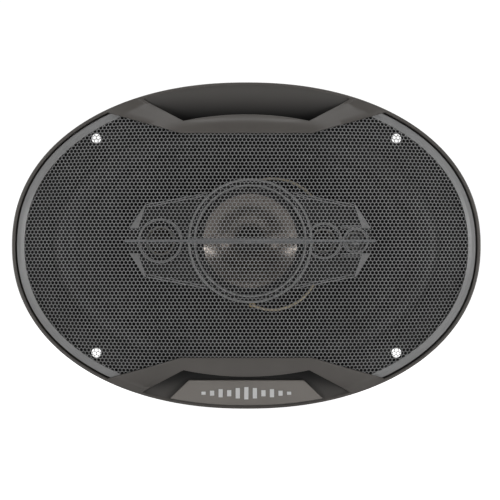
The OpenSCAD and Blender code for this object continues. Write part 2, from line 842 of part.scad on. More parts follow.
function skirt(p) = (p - skirt_start) + sqrt(pow(p - skirt_start, 2) + pow(skirt_bend, 2));
function sheet_z(p) = seat_z + mesh_t + mesh_crown * (1 - p * p) + mesh_drop * (1 - skirt(p) / skirt(1));
sheet_steps = [0.12, 0.3, 0.5, 0.65, 0.74, 0.8, 0.86, 0.93, 1];

// The domed sheet and its flat border, raised or lowered, with its own thickness
function level(z) = [for (p = sheet_steps) [mesh_a * p, mesh_b * p, outline_n, sheet_z(p) + z]];
function border(z) = [mesh_a + mesh_land, mesh_b + mesh_land, outline_n, seat_z + mesh_t + z];

module sheet(rise, t) {
    top = level(rise);
    capped([
        each level(rise - t),
        border(rise - t),
        border(rise),
        each [for (i = [len(top) - 1:-1:0]) top[i]]
    ]);
}

module inner_outline() {
    polygon(oval(outline_a - rim_wall / 2, outline_b - rim_wall / 2, outline_n));
}

// Plan of a whole bezel, and of the scoop in it, at the top of the grille
module bezel_plan() {
    out_y = outline_b + 5;
    knee_y = oval_y(bezel_span / 2, outline_a - rim_wall, outline_b - rim_wall, outline_n);
    intersection() {
        inner_outline();
        polygon([[-bezel_span / 2, knee_y], [-bezel_flat / 2, bezel_edge_y],
                 [bezel_flat / 2, bezel_edge_y], [bezel_span / 2, knee_y],
                 [bezel_span / 2, out_y], [-bezel_span / 2, out_y]]);
    }
}

module scoop_plan() {
    out_y = outline_b + 5;
    knee_y = oval_y(scoop_span / 2, outline_a - rim_wall, outline_b - rim_wall, outline_n);
    intersection() {
        inner_outline();
        polygon([[-scoop_span / 2, knee_y],
                 each [for (i = [-6:6]) let (x = scoop_flat / 12 * i)
                     [x, oval_y(x, body_a - roll_start + scoop_clear, body_b - roll_start + scoop_clear, body_n)]],
                 [scoop_span / 2, knee_y], [scoop_span / 2, out_y], [-scoop_span / 2, out_y]]);
    }
}

module at_both_ends() {
    children();
    mirror([0, 1, 0]) children();
}

// Face and scoop wall of the top bezel, open underneath
module bezel() {
    difference() {
        intersection() {
            sheet(bezel_rise, 30);
            translate([0, 0, seat_z]) linear_extrude(40) difference() {
                bezel_plan();
                scoop_plan();
            }
        }
        intersection() {
            sheet(bezel_rise - bezel_t, 40);
            translate([0, 0, -1]) linear_extrude(60) difference() {
                translate([-outline_a, 0]) square([2 * outline_a, 2 * outline_b]);
                offset(delta = scoop_wall) scoop_plan();
            }
        }
    }
}

// Floor of the scoop and of the bezel's corners, level with the rim
module bezel_floor() {
    translate([0, 0, floor_z]) linear_extrude(rim_h - floor_z) difference() {
        bezel_plan();
        difference() {
            polygon(oval(outline_a - ledge_inset, outline_b - ledge_inset, outline_n));
            scoop_plan();
        }
    }
}

module grille_frame() {
    color("#646059") face_forward() {
        oval_ring(outline_a, outline_b, outline_n, rim_wall, 0, rim_h);
        oval_ring(outline_a - rim_wall / 2, outline_b - rim_wall / 2, outline_n, ledge_inset - rim_wall / 2,
            flange_t, seat_z - flange_t);
        for (p = peg_points)
            translate([p[0], p[1], 0]) {
                disc(peg_d / 2 + 2, flange_t, seat_z - flange_t);
                disc(peg_d / 2, 0.2, seat_z - flange_t);
            }
        at_both_ends() {
            bezel();
            bezel_floor();
        }
    }
}

module grille_mesh() {
    color("#55565a") face_forward() difference() {
        sheet(0, mesh_t);
        at_both_ends() translate([0, 0, -1]) linear_extrude(60) bezel_plan();
    }
}

// Badge ----------------------------------------------------------------

badge_top_y = -outline_b + 15;
badge_low_y = -outline_b + 4.5;

module badge_plan() {
    intersection() {
        polygon(oval(outline_a - rim_wall - 0.4, outline_b - rim_wall - 0.4, outline_n));
        polygon([[-29.5, badge_top_y], [29.5, badge_top_y], [40.5, badge_low_y],
                 [40.5, -outline_b - 5], [-40.5, -outline_b - 5], [-40.5, badge_low_y]]);
    }
}

module badge_plate() {
    color("#6d6962") face_forward() translate([0, 0, rim_h]) linear_extrude(2) badge_plan();
}

// A plain row of bars of rising and falling height
module badge_bars() {
    heights = [1.6, 2.6, 4.2, 3.2, 5.4, 6.4, 5.4, 3.2, 4.2, 2.6, 1.6];
    color("white") face_forward()
        for (i = [0:len(heights) - 1])
            translate([(i - (len(heights) - 1) / 2) * 4.4 - 1.1,
                       (badge_top_y - outline_b + rim_wall) / 2 - heights[i] / 2, rim_h + 2])
                cube([2.2, heights[i], 0.4]);
}

basket();
grille_grommets();
front_gasket();
surround();
woofer_cone();
spider();
coil_former();
voice_coil();
dust_seal();
cone_eyelets();
top_plate();
magnet();
pole_yoke();
magnet_boot();
motor_rivets();
centre_post();
post_screw();
bridge_body();
bridge_bar();
mid_trim_ring();
mid_frame();
mid_magnet();
mid_surround();
mid_cone();
mid_dust_cap();
mid_coil();
left_tweeter_housing();
left_tweeter_magnet();
left_tweeter_dome();
right_tweeter_housing();
right_tweeter_magnet();
right_tweeter_dome();
super_tweeter_housing();
super_tweeter_magnet();
super_tweeter_dome();
crossover_capacitors();
terminal_board();
positive_terminal();
negative_terminal();
board_rivets();
tinsel_leads();
front_leads();
grille_frame();
grille_mesh();
badge_plate();
badge_bars();
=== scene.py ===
"""Coaxial car loudspeaker with its grille on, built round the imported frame."""
import math
from collections import namedtuple
from contextlib import contextmanager

import bmesh
import bpy
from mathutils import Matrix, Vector


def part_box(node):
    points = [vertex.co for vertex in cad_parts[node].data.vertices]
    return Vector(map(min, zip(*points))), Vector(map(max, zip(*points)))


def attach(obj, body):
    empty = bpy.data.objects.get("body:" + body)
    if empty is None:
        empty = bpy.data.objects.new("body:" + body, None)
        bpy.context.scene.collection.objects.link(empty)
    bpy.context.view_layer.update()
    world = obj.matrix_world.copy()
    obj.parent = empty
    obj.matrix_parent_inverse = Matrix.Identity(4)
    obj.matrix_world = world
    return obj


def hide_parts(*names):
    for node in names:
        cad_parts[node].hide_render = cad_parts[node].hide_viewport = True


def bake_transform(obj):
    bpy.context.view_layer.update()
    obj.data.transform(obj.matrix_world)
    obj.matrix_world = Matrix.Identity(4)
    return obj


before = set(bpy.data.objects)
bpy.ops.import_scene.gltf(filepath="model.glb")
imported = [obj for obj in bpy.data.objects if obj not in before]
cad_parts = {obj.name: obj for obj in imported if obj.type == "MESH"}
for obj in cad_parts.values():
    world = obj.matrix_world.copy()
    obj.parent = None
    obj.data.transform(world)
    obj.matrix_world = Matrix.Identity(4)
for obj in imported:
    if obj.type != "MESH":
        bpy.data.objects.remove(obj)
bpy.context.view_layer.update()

MM = 0.001

# Frame --------------------------------------------------------------------

Span = namedtuple("Span", "x0 x1 y0 y1 z0 z1 cx cy rx ry")


def span(node):
    """A node's box in the speaker's own axes: x right, y up, z to the listener, in millimetres."""
    low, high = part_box(node)
    x0, x1 = low.x / MM, high.x / MM
    y0, y1 = low.z / MM, high.z / MM
    return Span(x0, x1, y0, y1, -high.y / MM, -low.y / MM, (x0 + x1) / 2, (y0 + y1) / 2, (x1 - x0) / 2, (y1 - y0) / 2)


def place(point):
    """Turns speaker axes in millimetres into the frame's metres."""
    x, y, z = point
    return x * MM, -z * MM, y * MM


# Sizes in millimetres -----------------------------------------------------

# Fineness of turned pieces, of the grille's outline and of small fasteners, and the sharpest smooth edge in degrees
STEPS = 192
OUTLINE_STEPS = 288
SMALL_STEPS = 48
CREASE = 38
SHELL_CREASE = 30

# Grille rim, with the groove and the ledge that the sheet sits on
RIM = span("grille_frame")
MESH = span("grille_mesh")
OUTLINE_N = 2.16
RIM_WALL = 1.6
RIM_H = 6.0
RIM_EDGE = 0.55
MESH_INSET = RIM.rx - MESH.rx
GROOVE_Z = 2.2
LEDGE = 6.5
LEDGE_Z = 1.2

# Perforated sheet: its dome, its plain border and its holes
SHEET_T = 0.8
LAND = 2.0
LAND_INSIDE = 1.9
CROWN = 5.0
DROP = 11.0
SKIRT_START = 0.8
SKIRT_BEND = 0.04
SEAT_Z = MESH.z0
SHEET_A, SHEET_B = MESH.rx - LAND, RIM.ry - MESH_INSET - LAND
PITCH = 2.0
HOLE_R = 0.88
HOLE_SIDES = 12
STRAND_T = 0.5
HOLE_LIP = 0.16

# Bezels and the scoops inside them
BEZEL_SPAN = 143.0
BEZEL_FLAT = 67.0
BEZEL_EDGE_Y = RIM.ry - 27.25
BEZEL_RISE = 1.2
BEZEL_T = 2.4
CREASE_Y = 63.4
SCOOP_SPAN = 107.0
SCOOP_FLAT = 64.0
SCOOP_WALL = 1.5
SCOOP_CLEAR = 1.8
FLOOR_Z = 4.0
FLOOR_TOP = 4.7

# Basket and flange
BODY_A = span("front_gasket").rx + 1
BODY_B = span("front_gasket").ry + 1
FLANGE_T = 1.2
MOUNT_HOLES = (77.914, 55.614)
MOUNT_R = 2.5
PEG_R = 1.5
GROMMET_R = 3.1
WALL_T = 1.2
WALL_BEND = 1.2
PAN_DEPTH = 9.0
REAR_Z = -50.0
SHELF_Z = -36.0
SHELF_R = span("spider").rx + 2
LEGS = 6

# Surround, cone and spider
ROLL_START = 7.0
ROLL_W = 13.0
ROLL_T = 0.8
CONE_T = 0.9
CONE_RIM = 3
CONE_A = span("woofer_cone").rx - CONE_RIM
CONE_B = span("woofer_cone").ry - CONE_RIM
FORMER_OUT = span("coil_former").rx
NECK_Z = -30.0
CONE_DEPTH = 31.2
FRONT_EYES = [(1.6, 32.7), (3.1, -31.4)]
REAR_EYES = [(-14.0, -38.0), (14.0, -38.0)]
SPIDER_T = 0.5
SPIDER_WAVES = 5
SPIDER_WAVE_H = 1.2

# Motor
SEAL_R = 9.5
COIL_GAP = 0.8
POST_SCREW_R = 2.75
BOOT_HOLE_R = 14
BOOT_GROOVES = 5

# Midrange
MID_CAP_R = span("mid_dust_cap").rx
MID_OPENING_R = 26.8
TRIM_R = 27.6

# Terminals and leads
LUG_Y = -(SHELF_R + 9)
TAB_T = 0.8
LUG_HALF = 1.6
STRANDS = 5
STRAND_R = 0.34
STRAND_REACH = 0.46
STRAND_TURN = 3.6
STRAND_SIDES = 8
LEAD_STEPS = 60
# Each front lead's arc: the centre from the midrange's axis, the radius, and the first and last angle
FRONT_ARCS = [(10.9, 9.6, 24.9, 112, 29), (14, -14, 20.5, -122, -22)]

# What a piece is made of, what it rides on and the node that it stands for
MOULDING = ("grille_plastic", "grille", "grille_frame")
SHEET = ("grille_steel", "grille", "grille_mesh")
BASKET = ("basket_steel", "frame", "basket")
BRIDGE = ("bridge_plastic", "frame", "bridge_body")

# Materials ----------------------------------------------------------------

# A wave texture's scale for one band to a millimetre
BAND = 0.314


def shader_node(tree, kind, values=None, **settings):
    """A shader node with its settings and the values of its inputs."""
    made = tree.nodes.new("ShaderNode" + kind)
    for name, value in settings.items():
        setattr(made, name, value)
    for socket, value in (values or {}).items():
        made.inputs[socket].default_value = value
    return made


def nodes_of(name):
    """An empty material with its shader and its coordinates in millimetres."""
    material = bpy.data.materials.new(name)
    material.use_nodes = True
    tree = material.node_tree
    coords = shader_node(tree, "TexCoord")
    scale = shader_node(tree, "VectorMath", {"Scale": 1 / MM}, operation="SCALE")
    tree.links.new(coords.outputs["Object"], scale.inputs[0])
    return material, tree, tree.nodes["Principled BSDF"], scale.outputs[0]


def noise(tree, vector, size, detail=3.0):
    """Noise whose features are about size millimetres wide."""
    made = shader_node(tree, "TexNoise", {"Scale": 1 / size, "Detail": detail, "Roughness": 0.55})
    tree.links.new(vector, made.inputs["Vector"])
    return made.outputs["Fac"]


def waves(tree, vector, direction, pitch, distortion=0.0):
    """Bands across a direction, pitch millimetres apart."""
    made = shader_node(tree, "TexWave", {"Scale": BAND / pitch, "Distortion": distortion}, bands_direction=direction)
    tree.links.new(vector, made.inputs["Vector"])
    return made.outputs["Fac"]


def ramp(tree, fac, low, high, start=0.3, end=0.7):
    """Blends two colours over a factor."""
    made = shader_node(tree, "ValToRGB")
    for element, position, color in zip(made.color_ramp.elements, (start, end), (low, high)):
        element.position = position
        element.color = (*color, 1)
    tree.links.new(fac, made.inputs["Fac"])
    return made.outputs["Color"]


def remap(tree, value, old, new=(0.0, 1.0), **settings):
    """Maps one range to another."""
    ends = {"From Min": old[0], "From Max": old[1], "To Min": new[0], "To Max": new[1]}
    made = shader_node(tree, "MapRange", ends, **settings)
    tree.links.new(value, made.inputs["Value"])
    return made.outputs["Result"]


def spread(tree, fac, low, high):
    """Maps a noise's middle range to low..high."""
    return remap(tree, fac, (0.3, 0.7), (low, high))


def calculated(tree, operation, *values):
    made = shader_node(tree, "Math", operation=operation)
    for value, socket in zip(values, made.inputs):
        tree.links.new(value, socket)
    return made.outputs[0]


def along(tree, vector, axis):
    """One part of a vector."""
    made = shader_node(tree, "SeparateXYZ")
    tree.links.new(vector, made.inputs[0])
    return made.outputs[axis]


def bump(tree, shader, height, distance):
    """Relief of a depth in millimetres."""
    made = shader_node(tree, "Bump", {"Strength": 1.0, "Distance": distance * MM})
    tree.links.new(height, made.inputs["Height"])
    tree.links.new(made.outputs["Normal"], shader.inputs["Normal"])


def plain_surface(name, tones, rough, metal=0.0, grain=0.4, relief=0.02, patch=18.0):
    """Two close tones in broad patches, a fine grain in the relief, and roughness that varies a little."""
    material, tree, shader, vector = nodes_of(name)
    fine = noise(tree, vector, grain)
    broad = noise(tree, vector, patch, detail=4.0)
    tree.links.new(ramp(tree, broad, *tones), shader.inputs["Base Color"])
    tree.links.new(spread(tree, fine, *rough), shader.inputs["Roughness"])
    bump(tree, shader, fine, relief)
    shader.inputs["Metallic"].default_value = metal
    return material


def grey(v, warm=0.0):
    """A linear grey from a display value, 0 to 255, leaning warm or cool."""
    level = (v / 255) ** 2.2
    return level * (1 + warm), level, level * (1 - warm)


def greys(low, high, warm=0.0):
    return grey(low, warm), grey(high, warm)


def woven(name, tones, pitch, relief, rough):
    """Cloth or braid: two crossing waves of threads."""
    material, tree, shader, vector = nodes_of(name)
    both = calculated(tree, "MULTIPLY", *(waves(tree, vector, way, pitch, 0.4) for way in ("X", "Z")))
    tree.links.new(ramp(tree, both, *tones, 0.0, 0.8), shader.inputs["Base Color"])
    bump(tree, shader, both, relief)
    tree.links.new(spread(tree, noise(tree, vector, 2.0), *rough), shader.inputs["Roughness"])
    return material


def turns(name, tones, pitch):
    """Fine turns of wire, side by side along the speaker's axis."""
    material, tree, shader, vector = nodes_of(name)
    bands = waves(tree, vector, "Y", pitch)
    tree.links.new(ramp(tree, bands, *tones, 0.0, 0.9), shader.inputs["Base Color"])
    bump(tree, shader, bands, 0.08)
    tree.links.new(spread(tree, noise(tree, vector, 3.0), 0.25, 0.4), shader.inputs["Roughness"])
    shader.inputs["Metallic"].default_value = 0.9
    return material


def painted_slope_highlights(name, tones, highlight_tones):
    """A satin moulding with painted highlights: lighter on its gentle slopes than on its flat front and its upright
    walls.
    """
    material, tree, shader, vector = nodes_of(name)
    broad = noise(tree, vector, 18.0)
    facing = along(tree, shader_node(tree, "NewGeometry").outputs["Normal"], "Y")
    off_front = remap(tree, facing, (-0.97, -0.8))
    off_wall = remap(tree, facing, (-0.5, -0.2), (1.0, 0.0))
    # Painted highlight: the light tones go where the face turns between the front and the walls.
    blend = shader_node(tree, "Mix", data_type="RGBA")
    tree.links.new(calculated(tree, "MULTIPLY", off_front, off_wall), blend.inputs["Factor"])
    tree.links.new(ramp(tree, broad, *tones), blend.inputs["A"])
    tree.links.new(ramp(tree, broad, *highlight_tones), blend.inputs["B"])
    tree.links.new(blend.outputs["Result"], shader.inputs["Base Color"])
    tree.links.new(spread(tree, noise(tree, vector, 0.5), 0.24, 0.34), shader.inputs["Roughness"])
    return material


def scoop_painted_shade(name):
    """The grille's moulding in a scoop: dull, with painted shade that makes it dark against the wall and as light as
    the rim further out.
    """
    material, tree, shader, vector = nodes_of(name)
    # Painted shade: the height from the long axis sets the colour, from near black by the wall to the rim's grey
    # further out.
    height = calculated(tree, "ABSOLUTE", along(tree, vector, "Z"))
    way = remap(tree, height, (64.0, 80.0), interpolation_type="SMOOTHSTEP")
    tree.links.new(ramp(tree, way, *greys(16, 88, 0.06), 0.0, 1.0), shader.inputs["Base Color"])
    fine = noise(tree, vector, 0.32)
    tree.links.new(spread(tree, fine, 0.4, 0.5), shader.inputs["Roughness"])
    bump(tree, shader, fine, 0.012)
    return material


def bright_cone(name):
    """Metallised film over a pressed cone, with a faint unevenness."""
    material, tree, shader, vector = nodes_of(name)
    broad = noise(tree, vector, 9.0, detail=2.0)
    tree.links.new(ramp(tree, broad, (0.36, 0.32, 0.29), (0.44, 0.40, 0.365)), shader.inputs["Base Color"])
    tree.links.new(spread(tree, noise(tree, vector, 5.0), 0.13, 0.19), shader.inputs["Roughness"])
    bump(tree, shader, broad, 0.012)
    shader.inputs["Metallic"].default_value = 1.0
    return material


# Each plain finish: its two tones, its range of roughness, and what else differs from the usual
PLAIN = {
    "basket_steel": (greys(24, 32), (0.36, 0.5), {"grain": 0.6, "relief": 0.03}),
    "gasket_foam": (greys(26, 36), (0.85, 0.97), {"grain": 0.35, "relief": 0.12}),
    "surround_rubber": (greys(18, 25), (0.45, 0.6), {"grain": 0.5}),
    "cone_paper": (greys(14, 24), (0.55, 0.8), {"grain": 0.9, "relief": 0.08, "patch": 7.0}),
    "former_film": (((0.45, 0.28, 0.12), (0.55, 0.36, 0.17)), (0.3, 0.45), {}),
    "brass_fitting": (((0.62, 0.45, 0.18), (0.72, 0.55, 0.26)), (0.25, 0.4), {"metal": 1.0}),
    "tinned_tab": (((0.62, 0.61, 0.58), (0.74, 0.73, 0.70)), (0.22, 0.38), {"metal": 1.0}),
    "plated_steel": (((0.5, 0.5, 0.49), (0.64, 0.63, 0.6)), (0.25, 0.42), {"metal": 1.0}),
    "rivet_steel": (((0.42, 0.42, 0.42), (0.56, 0.56, 0.55)), (0.28, 0.45), {"metal": 1.0}),
    "ferrite": (greys(38, 52), (0.5, 0.75), {"grain": 0.3, "relief": 0.04, "patch": 6.0}),
    "boot_rubber": (greys(24, 32), (0.5, 0.68), {"grain": 0.5, "relief": 0.03}),
    "bar_plastic": (greys(138, 150, -0.03), (0.3, 0.42), {}),
    "dark_dome": (greys(34, 46, 0.1), (0.2, 0.32), {"grain": 0.6}),
    "silver_dome": (greys(150, 170), (0.25, 0.4), {"metal": 0.8}),
    "capacitor_sleeve": (((0.02, 0.05, 0.2), (0.03, 0.07, 0.26)), (0.3, 0.4), {}),
    "phenolic_board": (((0.16, 0.06, 0.02), (0.24, 0.1, 0.03)), (0.35, 0.55), {}),
    "braided_lead": (((0.86, 0.72, 0.5), (0.95, 0.84, 0.64)), (0.2, 0.3), {"metal": 0.35, "grain": 0.6, "patch": 1.2}),
    "grille_plastic": (greys(90, 97, 0.08), (0.36, 0.46), {"grain": 0.32, "relief": 0.012, "patch": 40.0}),
    "grille_steel": (greys(146, 160), (0.28, 0.38), {"grain": 0.5, "relief": 0.006, "patch": 30.0}),
    "horn_plastic": (greys(26, 34), (0.3, 0.45), {"grain": 0.5, "relief": 0.01}),
    "badge_plastic": (greys(132, 140, 0.08), (0.36, 0.46), {"grain": 0.32, "relief": 0.012, "patch": 30.0}),
    "white_print": (greys(232, 240), (0.35, 0.45), {"grain": 0.6, "relief": 0.006}),
}


def finishes():
    """One material for each of the record's slots, and the variants of two of them."""
    made = {name: plain_surface(name, tones, rough, **more) for name, (tones, rough, more) in PLAIN.items()}
    made["spider_cloth"] = woven("spider_cloth", ((0.42, 0.24, 0.06), (0.66, 0.42, 0.13)), 0.6, 0.15, (0.7, 0.9))
    made["copper_wire"] = turns("copper_wire", ((0.30, 0.09, 0.03), (0.78, 0.33, 0.15)), 0.3)
    # The bridge's dark moulding, with painted highlights in light grey on its gentle slopes.
    made["bridge_plastic"] = painted_slope_highlights("bridge_plastic", greys(40, 46), greys(178, 192))
    made["bright_cone"] = bright_cone("bright_cone")
    # The scoop's variant of the moulding carries painted shade, dark against the bezel wall.
    made["scoop_painted_shade"] = scoop_painted_shade("scoop_painted_shade")
    return made


FINISH = finishes()


# Mesh helpers -------------------------------------------------------------

@contextmanager
def edited(mesh):
    """Opens a mesh for editing and writes it back."""
    bm = bmesh.new()
    bm.from_mesh(mesh)
    yield bm
    bm.to_mesh(mesh)
    bm.free()


def put(name, data):
    """A new object in the scene."""
    thing = bpy.data.objects.new(name, data)
    bpy.context.scene.collection.objects.link(thing)
    return thing


def finished(thing):
    """The mesh that an object shows, once its modifiers are done."""
    bpy.context.view_layer.update()
    return bpy.data.meshes.new_from_object(thing.evaluated_get(bpy.context.evaluated_depsgraph_get()))


def closed_mesh(name, points, faces):
    """A mesh from points in speaker axes, with its normals outwards."""
    mesh = bpy.data.meshes.new(name)
    mesh.from_pydata([place(p) for p in points], [], faces)
    with edited(mesh) as bm:
        bmesh.ops.recalc_face_normals(bm, faces=bm.faces)
    return mesh


def add(name, points, faces, slot, body, node, crease=CREASE):
    """A piece from points in speaker axes."""
    return adopt(name, closed_mesh(name, points, faces), slot, body, node, crease)


def adopt(name, mesh, slot, body, node, crease=CREASE):
    """Makes a mesh a piece: finish, soft shading below the crease angle, body and the node that it stands for."""
    mesh.materials.clear()
    mesh.materials.append(FINISH[slot])
    mesh.shade_smooth()
    mesh.set_sharp_from_angle(angle=math.radians(crease))
    piece = put(name, mesh)
    if body:
        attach(piece, body)
    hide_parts(node)
    return piece


def refinish(piece, finish):
    """Gives a piece a variant of its slot's finish."""
    piece.data.materials.clear()
    piece.data.materials.append(FINISH[finish])


def mix(a, b, t):
    return a + (b - a) * t


def smooth(t):
    t = min(max(t, 0.0), 1.0)
    return t * t * (3 - 2 * t)


def fractions(count):
    """Even steps from 0 to 1."""
    return [k / count for k in range(count + 1)]


def arc_steps(first, last, count):
    return [math.radians(mix(first, last, t)) for t in fractions(count)]


def soften(points, radius, arc=3):
    """Rounds the corners of a closed section."""
    out = []
    count = len(points)
    for i, point in enumerate(points):
        here = Vector(point)
        before, after = Vector(points[i - 1]) - here, Vector(points[(i + 1) % count]) - here
        if before.length < 1e-6 or after.length < 1e-6 or before.angle(after) > math.radians(155):
            out.append(tuple(here))
            continue
        cut = min(radius, before.length * 0.45, after.length * 0.45)
        start, end = here + before.normalized() * cut, here + after.normalized() * cut
        out += [tuple(start * (1 - t) ** 2 + here * 2 * t * (1 - t) + end * t * t) for t in fractions(arc)]
    return out


def band(r0, r1, z0, z1):
    """A rectangular section."""
    return [(r0, z0), (r1, z0), (r1, z1), (r0, z1)]


def loft(rings, wrap=True):
    """Faces between equal rings of points; a wrapped loft returns to the first ring."""
    width = len(rings[0])
    points = [p for ring in rings for p in ring]
    faces = []
    for j in range(len(rings) if wrap else len(rings) - 1):
        low, high = j * width, (j + 1) % len(rings) * width
        for i in range(width):
            k = (i + 1) % width
            faces.append((low + i, low + k, high + k, high + i))
    return points, faces


def capped(rings):
    """A loft that ends in a face on its first and on its last ring."""
    points, faces = loft(rings, wrap=False)
    width, count = len(rings[0]), len(points)
    faces += [tuple(range(width)), tuple(reversed(range(count - width, count)))]
    return points, faces


def prism(outline, z0, z1):
    """A closed prism over an outline."""
    return capped([[(x, y, z) for x, y in outline] for z in (z0, z1)])


def joined(parts):
    """Several closed shapes as one list of points and faces."""
    points, faces = [], []
    for some, those in parts:
        base = len(points)
        points += some
        faces += [tuple(base + i for i in face) for face in those]
    return points, faces


def circle(r, centre=(0, 0), steps=STEPS):
    return [(centre[0] + r * math.cos(math.tau * i / steps), centre[1] + r * math.sin(math.tau * i / steps))
            for i in range(steps)]


def power(v, n):
    return math.copysign(abs(v) ** (2 / n), v)


def oval(a, b, n, z, steps=STEPS):
    """A ring on a superellipse; n of 2 is an ellipse."""
    return [(a * power(x, n), b * power(y, n), z) for x, y in circle(1, steps=steps)]


def turned(section, centre=(0, 0), steps=STEPS):
    """Rings of a section of radius and height, turned about an axis along z."""
    return [[(x, y, z) for x, y in circle(r, centre, steps)] for r, z in section]


def lathe(name, profile, slot, body, node, centre=(0, 0), edge=0.25, steps=STEPS, crease=CREASE):
    """A turned piece. A section that reaches the axis is closed there."""
    section = soften(profile, edge)
    piece = add(name, *loft(turned(section, centre, steps)), slot, body, node, crease)
    if min(r for r, _ in section) < 1e-4:
        clean(piece)
    return piece


def clean(piece):
    """Joins the points that meet on an axis."""
    with edited(piece.data) as bm:
        bmesh.ops.remove_doubles(bm, verts=bm.verts, dist=1e-7)
        bmesh.ops.dissolve_degenerate(bm, edges=bm.edges, dist=1e-7)


def oval_ring(name, profile, a, b, n, slot, body, node, edge=0.25, steps=STEPS):
    """A ring whose section is given by the distance inside an oval and the height."""
    rings = [oval(a - inset, b - inset, n, z, steps) for inset, z in soften(profile, edge)]
    return add(name, *loft(rings), slot, body, node)


def plate_mesh(name, outlines, z0, z1, edge):
    """A flat plate with holes: the first outline is the edge, the others are holes, all counter-clockwise."""
    curve = bpy.data.curves.new(name, "CURVE")
    curve.dimensions = "2D"
    curve.fill_mode = "BOTH"
    curve.extrude = (z1 - z0) / 2 - edge
    curve.bevel_depth = edge
    curve.bevel_resolution = 2
    for k, outline in enumerate(outlines):
        spline = curve.splines.new("POLY")
        spline.points.add(len(outline) - 1)
        ordered = inset_outline(outline, edge if k == 0 else -edge)
        for target, (x, y) in zip(spline.points, ordered if k == 0 else ordered[::-1]):
            target.co = (x, y, 0, 1)
        spline.use_cyclic_u = True
    holder = put(name, curve)
    mesh = finished(holder)
    bpy.data.objects.remove(holder)
    for vertex in mesh.vertices:
        x, y, z = vertex.co
        vertex.co = place((x, y, z + (z0 + z1) / 2))
    with edited(mesh) as bm:
        bmesh.ops.remove_doubles(bm, verts=bm.verts, dist=1e-6)
        bmesh.ops.recalc_face_normals(bm, faces=bm.faces)
    mesh.name = name
    return mesh


def inset_outline(outline, distance):
    """Moves a counter-clockwise outline inwards along its corners."""
    moved = []
    for i, point in enumerate(outline):
        here = Vector(point)
        before = (here - Vector(outline[i - 1])).normalized()
        after = (Vector(outline[(i + 1) % len(outline)]) - here).normalized()
        normal = Vector((-before.y - after.y, before.x + after.x))
        if normal.length < 1e-6:
            moved.append(tuple(here))
            continue
        normal.normalize()
        share = max(normal.dot(Vector((-before.y, before.x))), 0.3)
        moved.append(tuple(here + normal * distance / share))
    return moved


def carve(piece, points, faces):
    """Cuts a closed shape away from a piece."""
    cutter = put("cutter", closed_mesh("cutter", points, faces))
    cut = piece.modifiers.new("cut", "BOOLEAN")
    cut.operation = "DIFFERENCE"
    cut.solver = "EXACT"
    cut.object = cutter
    done = finished(piece)
    piece.modifiers.remove(cut)
    done.name = piece.data.name
    piece.data = done
    bpy.data.objects.remove(cutter)


def refined(node, slot, body, width):
    """A node's own shape with its faces made whole and its edges rounded."""
    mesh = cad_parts[node].data.copy()
    with edited(mesh) as bm:
        bmesh.ops.remove_doubles(bm, verts=bm.verts, dist=2e-6)
        bmesh.ops.dissolve_limit(bm, angle_limit=math.radians(0.8), verts=bm.verts, edges=bm.edges)
    piece = adopt(node + "_shell", mesh, slot, body, node, SHELL_CREASE)
    rounding = piece.modifiers.new("rounding", "BEVEL")
    rounding.width = width * MM
    rounding.segments = 3
    rounding.limit_method = "ANGLE"
    rounding.angle_limit = math.radians(SHELL_CREASE)
    rounding.harden_normals = True
    rounding.use_clamp_overlap = True
    return piece


def four_places(x, y):
    """A place in each quarter, from the one at the top right and counter-clockwise."""
    return [(x, y), (-x, y), (-x, -y), (x, -y)]


def corners_of(node, inset):
    """The four places of a round fastener that sits symmetrically about the axis."""
    box = span(node)
    return four_places(box.rx - inset, box.ry - inset)


def blended(name, rings, slot, node):
    """A soft ring of rings, on no body, with its placement baked into its points."""
    piece = add(name, *loft(rings), slot, None, node, 50)
    follow(piece)


def follow(piece):
    """Bakes a piece's placement into its points."""
    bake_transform(piece)


# Camera, light and floor --------------------------------------------------

VIEW_M = 0.260
CAMERA_M = 0.75
AIM_X, AIM_Z = 0.0019, -0.0023
FLOOR_HALF_M = 1.6
# Each light: its place in metres, its width and height, and its watts
LIGHTS = {
    "left_light": ((-0.74, -0.56, 0.03), 0.3, 0.5, 2.6),
    "right_light": ((0.74, -0.56, 0.05), 0.3, 0.5, 2.9),
    "top_light": ((0.0, -0.18, 0.9), 0.9, 0.35, 2.6),
    "back_light": ((0.1, 0.9, 0.7), 0.9, 0.6, 1.6),
}


def studio():
    """A straight front view in a white surround, with soft lights at the sides, above and behind."""
    scene = bpy.context.scene
    scene.view_settings.view_transform = "Standard"
    camera = bpy.data.cameras.new("camera")
    camera.sensor_width = 36
    camera.lens = camera.sensor_width * CAMERA_M / VIEW_M
    holder = put("camera", camera)
    holder.location = (AIM_X, -CAMERA_M, AIM_Z)
    holder.rotation_euler = (math.pi / 2, 0, 0)
    scene.camera = holder
    scene.world = surround_of_light()
    for name, (at, width, height, watts) in LIGHTS.items():
        soft_light(name, at, width, height, watts)
    floor()


def surround_of_light():
    """A world that the camera sees white and that lights the speaker only a little."""
    world = bpy.data.worlds.new("surround")
    world.use_nodes = True
    tree = world.node_tree
    faint = tree.nodes["Background"]
    faint.inputs["Color"].default_value = (1, 1, 1, 1)
    faint.inputs["Strength"].default_value = 0.055
    seen = shader_node(tree, "Background", {"Color": (1, 1, 1, 1), "Strength": 1.05})
    choose = shader_node(tree, "MixShader")
    tree.links.new(shader_node(tree, "LightPath").outputs["Is Camera Ray"], choose.inputs["Fac"])
    tree.links.new(faint.outputs["Background"], choose.inputs[1])
    tree.links.new(seen.outputs["Background"], choose.inputs[2])
    tree.links.new(choose.outputs["Shader"], tree.nodes["World Output"].inputs["Surface"])
    return world


def soft_light(name, at, width, height, watts):
    """A rectangular area light that faces the speaker."""
    lamp = bpy.data.lights.new(name, "AREA")
    lamp.shape = "RECTANGLE"
    lamp.size, lamp.size_y = width, height
    lamp.energy = watts
    holder = put(name, lamp)
    holder.location = at
    holder.rotation_mode = "QUATERNION"
    holder.rotation_quaternion = (-Vector(at)).to_track_quat("-Z", "Z")


